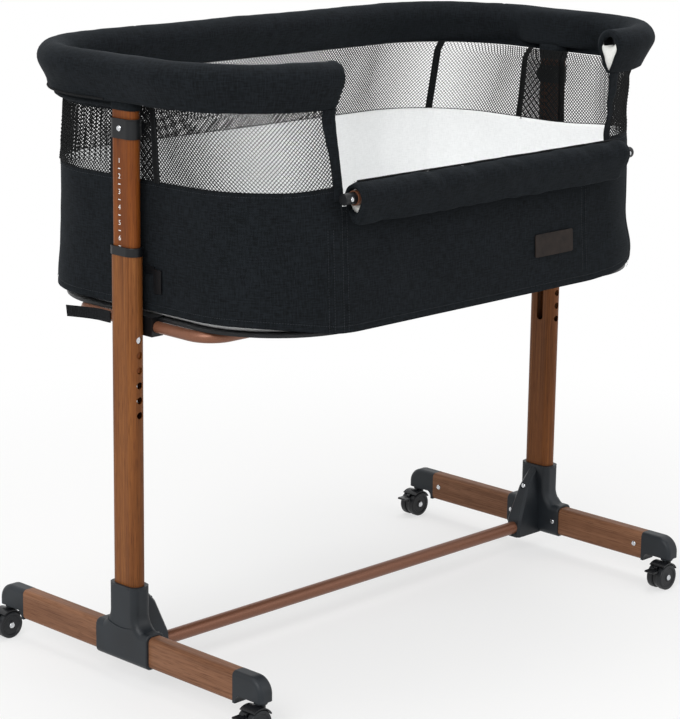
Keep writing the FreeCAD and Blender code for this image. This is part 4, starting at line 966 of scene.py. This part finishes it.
def rail_roll():
    """Cover of the front rail: a teardrop roll, open at its ends round the tube."""
    line, away, run = drop_line(RAIL_TOP_R, RAIL_TOP_Z, RAIL_TIP_R, RAIL_TIP_Z, 40)
    x = np.linspace(-RAIL_HALF, RAIL_HALF, 150)
    grid, normal = (np.stack(np.broadcast_arrays(part, *pair.T[:, None]), -1)
                    for part, pair in ((x[:, None], line + (RAIL_Y, 0)), (0 * x[:, None], away)))
    lumps = noise_field(grid, 70.0, 31) * 2.0
    lumps += noise_on(x[:, None] + 1.1 * line[None, :, 1], 0.25 * line[None, :, 1], 26.0, 33) * 1.9
    lumps -= 1.0 * dent(away[None, :, 0] * 20, 0, 2.2) * smooth(line[None, :, 1], 715, 722)
    near_end = smooth(np.abs(x), RAIL_HALF - 9, RAIL_HALF)[:, None]
    grid = grid + normal * (lumps * (1 - near_end) - 1.0 - 2.2 * near_end ** 2)[:, :, None]
    rings = []
    for end, outward in ((0, -1.0), (-1, 1.0)):
        mouth = rail_mouth(line, x[end])
        rings.append([grid[end] + (mouth - grid[end]) * part + np.array([outward * step, 0, 0])
                      for step, part in ((3.4, 0.1), (5.2, 0.36), (4.2, 0.72), (-6.0, 1.0))])
    return roll_piece("rail_cover_cloth", grid, rings, x, run)


rail_cloth = rail_roll()


def rail_foam(name, side):
    """End of the rail's foam round the tube, as the open end of the cover shows it."""
    line, _, _ = drop_line(RAIL_TOP_R, RAIL_TOP_Z, RAIL_TIP_R, RAIL_TIP_Z, 40)
    turn = np.arctan2(line[:, 1] - RAIL_Z + 4, line[:, 0])
    bore = np.stack([RAIL_BORE * np.cos(turn), RAIL_Z + RAIL_BORE * np.sin(turn)], -1)
    rings = [rail_mouth(line, side * x, 0.4) for x in (262, 271.5, 272.6)]
    rings += [np.stack([0 * turn + side * x, bore[:, 0] + RAIL_Y, bore[:, 1]], -1)
              for x in (272.0, 262)]
    return foam_piece(name, rings, 73, (0.5, 0.2, 0.2), side > 0)


rail_foams = [rail_foam("rail_foam_right", 1), rail_foam("rail_foam_left", -1)]
top_line = np.linspace(-272, 272, 120)
rail_piping = piping("rail_piping", np.stack(
    [top_line, RAIL_Y + 1.5 + noise_on(top_line, 0, 30.0, 35), RAIL_TOP_Z + RAIL_TOP_R - 0.7
     + noise_on(top_line, 9, 40.0, 36) * 0.5], -1))


# ---------------------------------------------------------------- front mesh panel
SLACK, FOLDS = 3.9, 12        # depth and number of the heaped net's folds
FRONT_NET_HALF = 268.0


def front_panel():
    """Net between the front wall and the let-down rail, heaped in folds; it is as long as the gap
    between them when the rail is up.
    """
    low = Vector((0, -248.6, 688.5))
    down = Vector((0, -262.0, 671.0))
    raised_length = (down + RAIL_RISE - low).length
    net = flat_net("front_net", 2 * FRONT_NET_HALF, raised_length, yarn=1.45)
    step = (down - low).normalized()

    def place(flat):
        q = np.clip(flat[:, 1] / raised_length, 0, 1)
        # share of the way at rest at which the smooth blend reaches q
        t = 0.5 - np.sin(np.arcsin(1 - 2 * q) / 3)
        slack = SLACK * np.sin(q * math.pi * FOLDS) * np.sin(q * math.pi) ** 0.5 + flat[:, 2]
        return np.stack([flat[:, 0] - FRONT_NET_HALF, low.y + (down.y - low.y) * t - step.z * slack,
                         low.z + (down.z - low.z) * t + step.y * slack], -1)

    return reshape(net, place), low, down, raised_length


front_net, net_start, net_end, net_length = front_panel()


# ---------------------------------------------------------------- mattress
def mattress():
    """Thin pad on the board: boxed sides with rounded edges, a crowned top and a flat underside."""
    steps = [(0.0, 24), (0.0, 9), (0.04, 5), (0.12, 1.5), (0.3, 0), (0.55, 0), (0.74, 1.5),
             (0.84, 5), (0.9, 10), (0.94, 18), (0.965, 34), (0.985, 62), (1.0, 100)]
    w, along = whole_loop(8.0)
    rows = []
    for share, draw in steps:
        half_x, half_y, corner = LEVELS[1, 1:] - MATTRESS_INSET - draw
        z = MATTRESS_LOW + share * (MATTRESS_HIGH - MATTRESS_LOW)
        rows.append(lifted(loop_point(half_x, half_y, corner, w)[0], z))
    grid = np.array(rows)
    high = np.array([share > 0.9 for share, _ in steps])[:, None]
    grid[:, :, 2] += np.where(high, noise_field(grid, 60.0, 41) - 1.0, 0)
    run = distances(grid[:, 0])
    piece = grid_piece("mattress_pad", grid, along[None, :], run[:, None], white_cotton,
                       around=True)
    mesh = bmesh.new()
    mesh.from_mesh(piece.data)
    layer = mesh.loops.layers.uv["UVMap"]
    middle = (MATTRESS_LOW + MATTRESS_HIGH) / 2 * MM
    for top in (True, False):
        edges = [e for e in mesh.edges if e.is_boundary and (e.verts[0].co.z > middle) == top]
        filled = bmesh.ops.triangle_fill(mesh, edges=edges, use_beauty=True)
        for face in filled["geom"]:
            if isinstance(face, bmesh.types.BMFace):
                for corner in face.loops:
                    corner[layer].uv = (corner.vert.co.x, corner.vert.co.y)
    for face in mesh.faces:
        face.smooth = True
    bmesh.ops.recalc_face_normals(mesh, faces=mesh.faces)
    mesh.to_mesh(piece.data)
    mesh.free()
    return piece


mattress_pad = mattress()


# ---------------------------------------------------------------- strap, stitches, height scale
def strap_end():
    """Webbing end: it stands upright against the frame tube, then its free end turns outwards."""
    line = np.array([(-426.4, 52, 513.5), (-426.4, 62, 513.5), (-427.5, 73, 514), (-434, 85, 515),
                     (-445, 97, 516.5), (-457, 109, 518)])
    steps = np.linspace(0, 5, 31)
    centres = np.stack([np.interp(steps, range(6), line[:, k]) for k in range(3)], -1)
    centres[1:-1] = (centres[:-2] + centres[1:-1] + centres[2:]) / 3
    lean = np.stack([0.12 * np.sin(steps), 0 * steps, 0 * steps + 1], -1)
    across = np.linspace(-0.5, 0.5, 7) * WEBBING_WIDTH
    grid = centres[:, None] + lean[:, None] * across[None, :, None]
    run = distances(centres)
    return grid_piece("strap_webbing", grid, run[:, None], across[None, :], webbing, thick=1.8,
                      offset=0.0), run[-1]


strap_webbing, strap_length = strap_end()


def wall_row(w, z):
    """Row of stitches on the wall, sunk a little into its cloth."""
    return skin(w, z, -0.15)


ring_w = even_w(*LEVELS[1, 1:], 0.0, 10.0, 6.0)[0]
ring_x = skin(ring_w, WALL_TOP_Z)[:, 0]
# rows above the hem and under the top edge, beside each seam, and beside the tapes
sewn = [wall_row(ring_w, hem_z(ring_x) + 9.5), wall_row(ring_w, wall_top(ring_w) - 6.0)]
for x, low, high in SEAMS:
    z = np.linspace(low, high, 12)
    for shift in (-4.5, 4.5):
        edge = gap_w(z, abs(x + shift))
        sewn.append(wall_row(edge if x > 0 else 10 - edge, z))
z = np.linspace(WALL_TOP_Z, MESH_TOP_Z, 14)
for run in (corner_right, corner_left, middle_left + TAPE_FRONT, middle_right - TAPE_FRONT):
    sewn += [band_place(run + shift + 0 * z, z, 1.4) for shift in (-4.3, 4.3)]
basket_thread = stitches("basket_topstitching", sewn)
rail_thread = stitches("rail_topstitching", [np.stack(
    [top_line, RAIL_Y + shift + 0 * top_line, RAIL_TOP_Z + math.sqrt(19.2 ** 2 - shift ** 2)
     + 0 * top_line], -1) for shift in (-4.5, 6.5)])


DIGIT_SIZE, PRINT_OFFSET = 9.8, 3.0   # height of the numbers, and how far they lie off the middle
DASH = ((-2.3, -0.6), (2.3, -0.6), (2.3, 0.6), (-2.3, 0.6))
BOX_FACES = ((3, 2, 1, 0), (4, 5, 6, 7), (0, 1, 5, 4), (1, 2, 6, 5), (2, 3, 7, 6), (3, 0, 4, 7))


def height_scale(name, side):
    """Plain printed numbers 1 to 6, with a dash between, on the outer face of an inner post."""
    points, faces = [], []
    for step in range(6):
        digit = bpy.data.curves.new(name, "FONT")
        digit.body = str(step + 1)
        digit.size = DIGIT_SIZE * MM
        digit.align_x, digit.align_y = "CENTER", "CENTER"
        digit.extrude = 0.00005
        holder = placed(name, digit)
        mesh = worked_out(holder)
        top = SCALE_TOP_Z - HEIGHT_STEP * step
        start = len(points)
        for vertex in mesh.vertices:
            x, y, lift = vertex.co / MM
            points.append((side * (POST_FACE + 0.06 + lift), side * (x + PRINT_OFFSET * side),
                           top + y))
        faces += [[start + k for k in face.vertices] for face in mesh.polygons]
        bpy.data.objects.remove(holder)
        bpy.data.meshes.remove(mesh)
        start = len(points)
        for lift in (0.01, 0.11):
            points += [(side * (POST_FACE + lift), side * (x + PRINT_OFFSET * side),
                        top - HEIGHT_STEP / 2 + y) for x, y in DASH]
        faces += [[start + k for k in face] for face in BOX_FACES]
    return build(name, points, faces, scale_ink, smooth_faces=False)


scales = [height_scale("height_scale_left", -1), height_scale("height_scale_right", 1)]

# ---------------------------------------------------------------- hiding stand-ins and riding on bodies
for piece, stand_in in ((rim_cloth, ["rim_cover", "rim_cover_ends"]), (rim_foams[0], ["rim_foam"]),
                        (wall_cloth, ["side_wall"]), (liner_cloth, ["inner_liner"]),
                        (mattress_pad, ["mattress"]), (band_nets[4], ["mesh_band"]),
                        (strap_webbing, ["strap_tail"])):
    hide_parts(*stand_in)
for piece in [rim_cloth, rim_flap, rim_piping, wall_cloth, liner_cloth, zip_cloth, mattress_pad,
              strap_webbing, basket_thread] + rim_foams + sleeves + band_nets + tapes \
        + opening_tapes + scales:
    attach(piece, "bed")
for piece in [rail_cloth, rail_piping, rail_thread] + rail_foams:
    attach(piece, "front_rail")
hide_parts("rail_cover", "rail_foam")
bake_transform(front_net)
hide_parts("front_mesh")

# ---------------------------------------------------------------- floor, light and camera
floor_paint, tree, surface = new_material("pale_studio_floor", Roughness=0.9,
                                          Base_Color=linear("f4f4f3"))
where = add(tree, "ShaderNodeNewGeometry").outputs["Position"]
level = add(tree, "ShaderNodeVectorMath", {0: where, 1: (1, 1, 0)}, operation="MULTIPLY")
far = add(tree, "ShaderNodeVectorMath", {0: level.outputs[0]}, operation="LENGTH")
fade = add(tree, "ShaderNodeMapRange",
           {"Value": far.outputs["Value"], "From Min": 0.5, "From Max": 1.6, "To Min": 0.62},
           interpolation_type="SMOOTHSTEP")
white = add(tree, "ShaderNodeEmission", {"Color": (1, 1, 1, 1), "Strength": 1.0})


def seen_rays(tree):
    """1 for the rays that show the white: from the camera, in gloss and through clear things."""
    path = add(tree, "ShaderNodeLightPath").outputs
    seen = calc(tree, "MAXIMUM", path["Is Camera Ray"], path["Is Glossy Ray"])
    return calc(tree, "MAXIMUM", seen, path["Is Transmission Ray"])


mixed = add(tree, "ShaderNodeMixShader",
            {0: calc(tree, "MULTIPLY", fade.outputs[0], seen_rays(tree)),
             1: surface.outputs[0], 2: white.outputs[0]})
output = next(n for n in tree.nodes if n.type == "OUTPUT_MATERIAL")
tree.links.new(mixed.outputs[0], output.inputs["Surface"])
FAR = 9000.0
floor = build("studio_floor", [(-FAR, -FAR, 0), (FAR, -FAR, 0), (FAR, FAR, 0), (-FAR, FAR, 0)],
              [[0, 1, 2, 3]], floor_paint)

world = bpy.data.worlds.new("studio")
bpy.context.scene.world = world
world.use_nodes = True
tree = world.node_tree
tree.nodes.clear()
strength = add(tree, "ShaderNodeMapRange", {"Value": seen_rays(tree), "To Min": 0.45})
sky = add(tree, "ShaderNodeBackground",
          {"Color": (1, 1, 1, 1), "Strength": strength.outputs[0]})
add(tree, "ShaderNodeOutputWorld", {"Surface": sky.outputs[0]})


def lamp(name, place, aim, size, power):
    light = bpy.data.lights.new(name, "AREA")
    light.shape = "RECTANGLE"
    light.size, light.size_y = size
    light.energy = power
    holder = placed(name, light)
    holder.location = place
    holder.rotation_euler = (Vector(aim) - Vector(place)).to_track_quat("-Z", "Y").to_euler()


lamp("key_softbox", (-2.8, -1.2, 2.4), (0, 0, 0.5), (1.6, 1.6), 58)
lamp("front_fill", (1.2, -3.2, 1.8), (0, 0, 0.45), (2.4, 1.6), 18)
lamp("top_panel", (0.2, 0.3, 3.2), (0, 0, 0.5), (2.4, 1.8), 46)

AZIMUTH, ELEVATION, ROLL = (math.radians(a) for a in (-45.52, 13.86, 0.77))
DISTANCE, FOCAL_PIXELS = 3.5171, 2499.04
SENSOR, PHOTO_HEIGHT = 36.0, 719
AIM = Vector((-0.15344, -0.12259, 0.440))
back = Vector((math.sin(AZIMUTH) * math.cos(ELEVATION), -math.cos(AZIMUTH) * math.cos(ELEVATION),
               math.sin(ELEVATION)))
right = (-back).cross(Vector((0, 0, 1))).normalized()
up = right.cross(-back)
turned_right = right * math.cos(ROLL) + up * math.sin(ROLL)
turned_up = up * math.cos(ROLL) - right * math.sin(ROLL)
camera = placed("camera", bpy.data.cameras.new("camera"))
camera.data.sensor_width = SENSOR
camera.data.lens = FOCAL_PIXELS * SENSOR / PHOTO_HEIGHT
camera.data.clip_end = 50.0
turn = Matrix((turned_right, turned_up, back)).transposed().to_4x4()
camera.matrix_world = Matrix.Translation(AIM + back * DISTANCE) @ turn
bpy.context.scene.camera = camera
bpy.context.scene.view_settings.view_transform = "Standard"
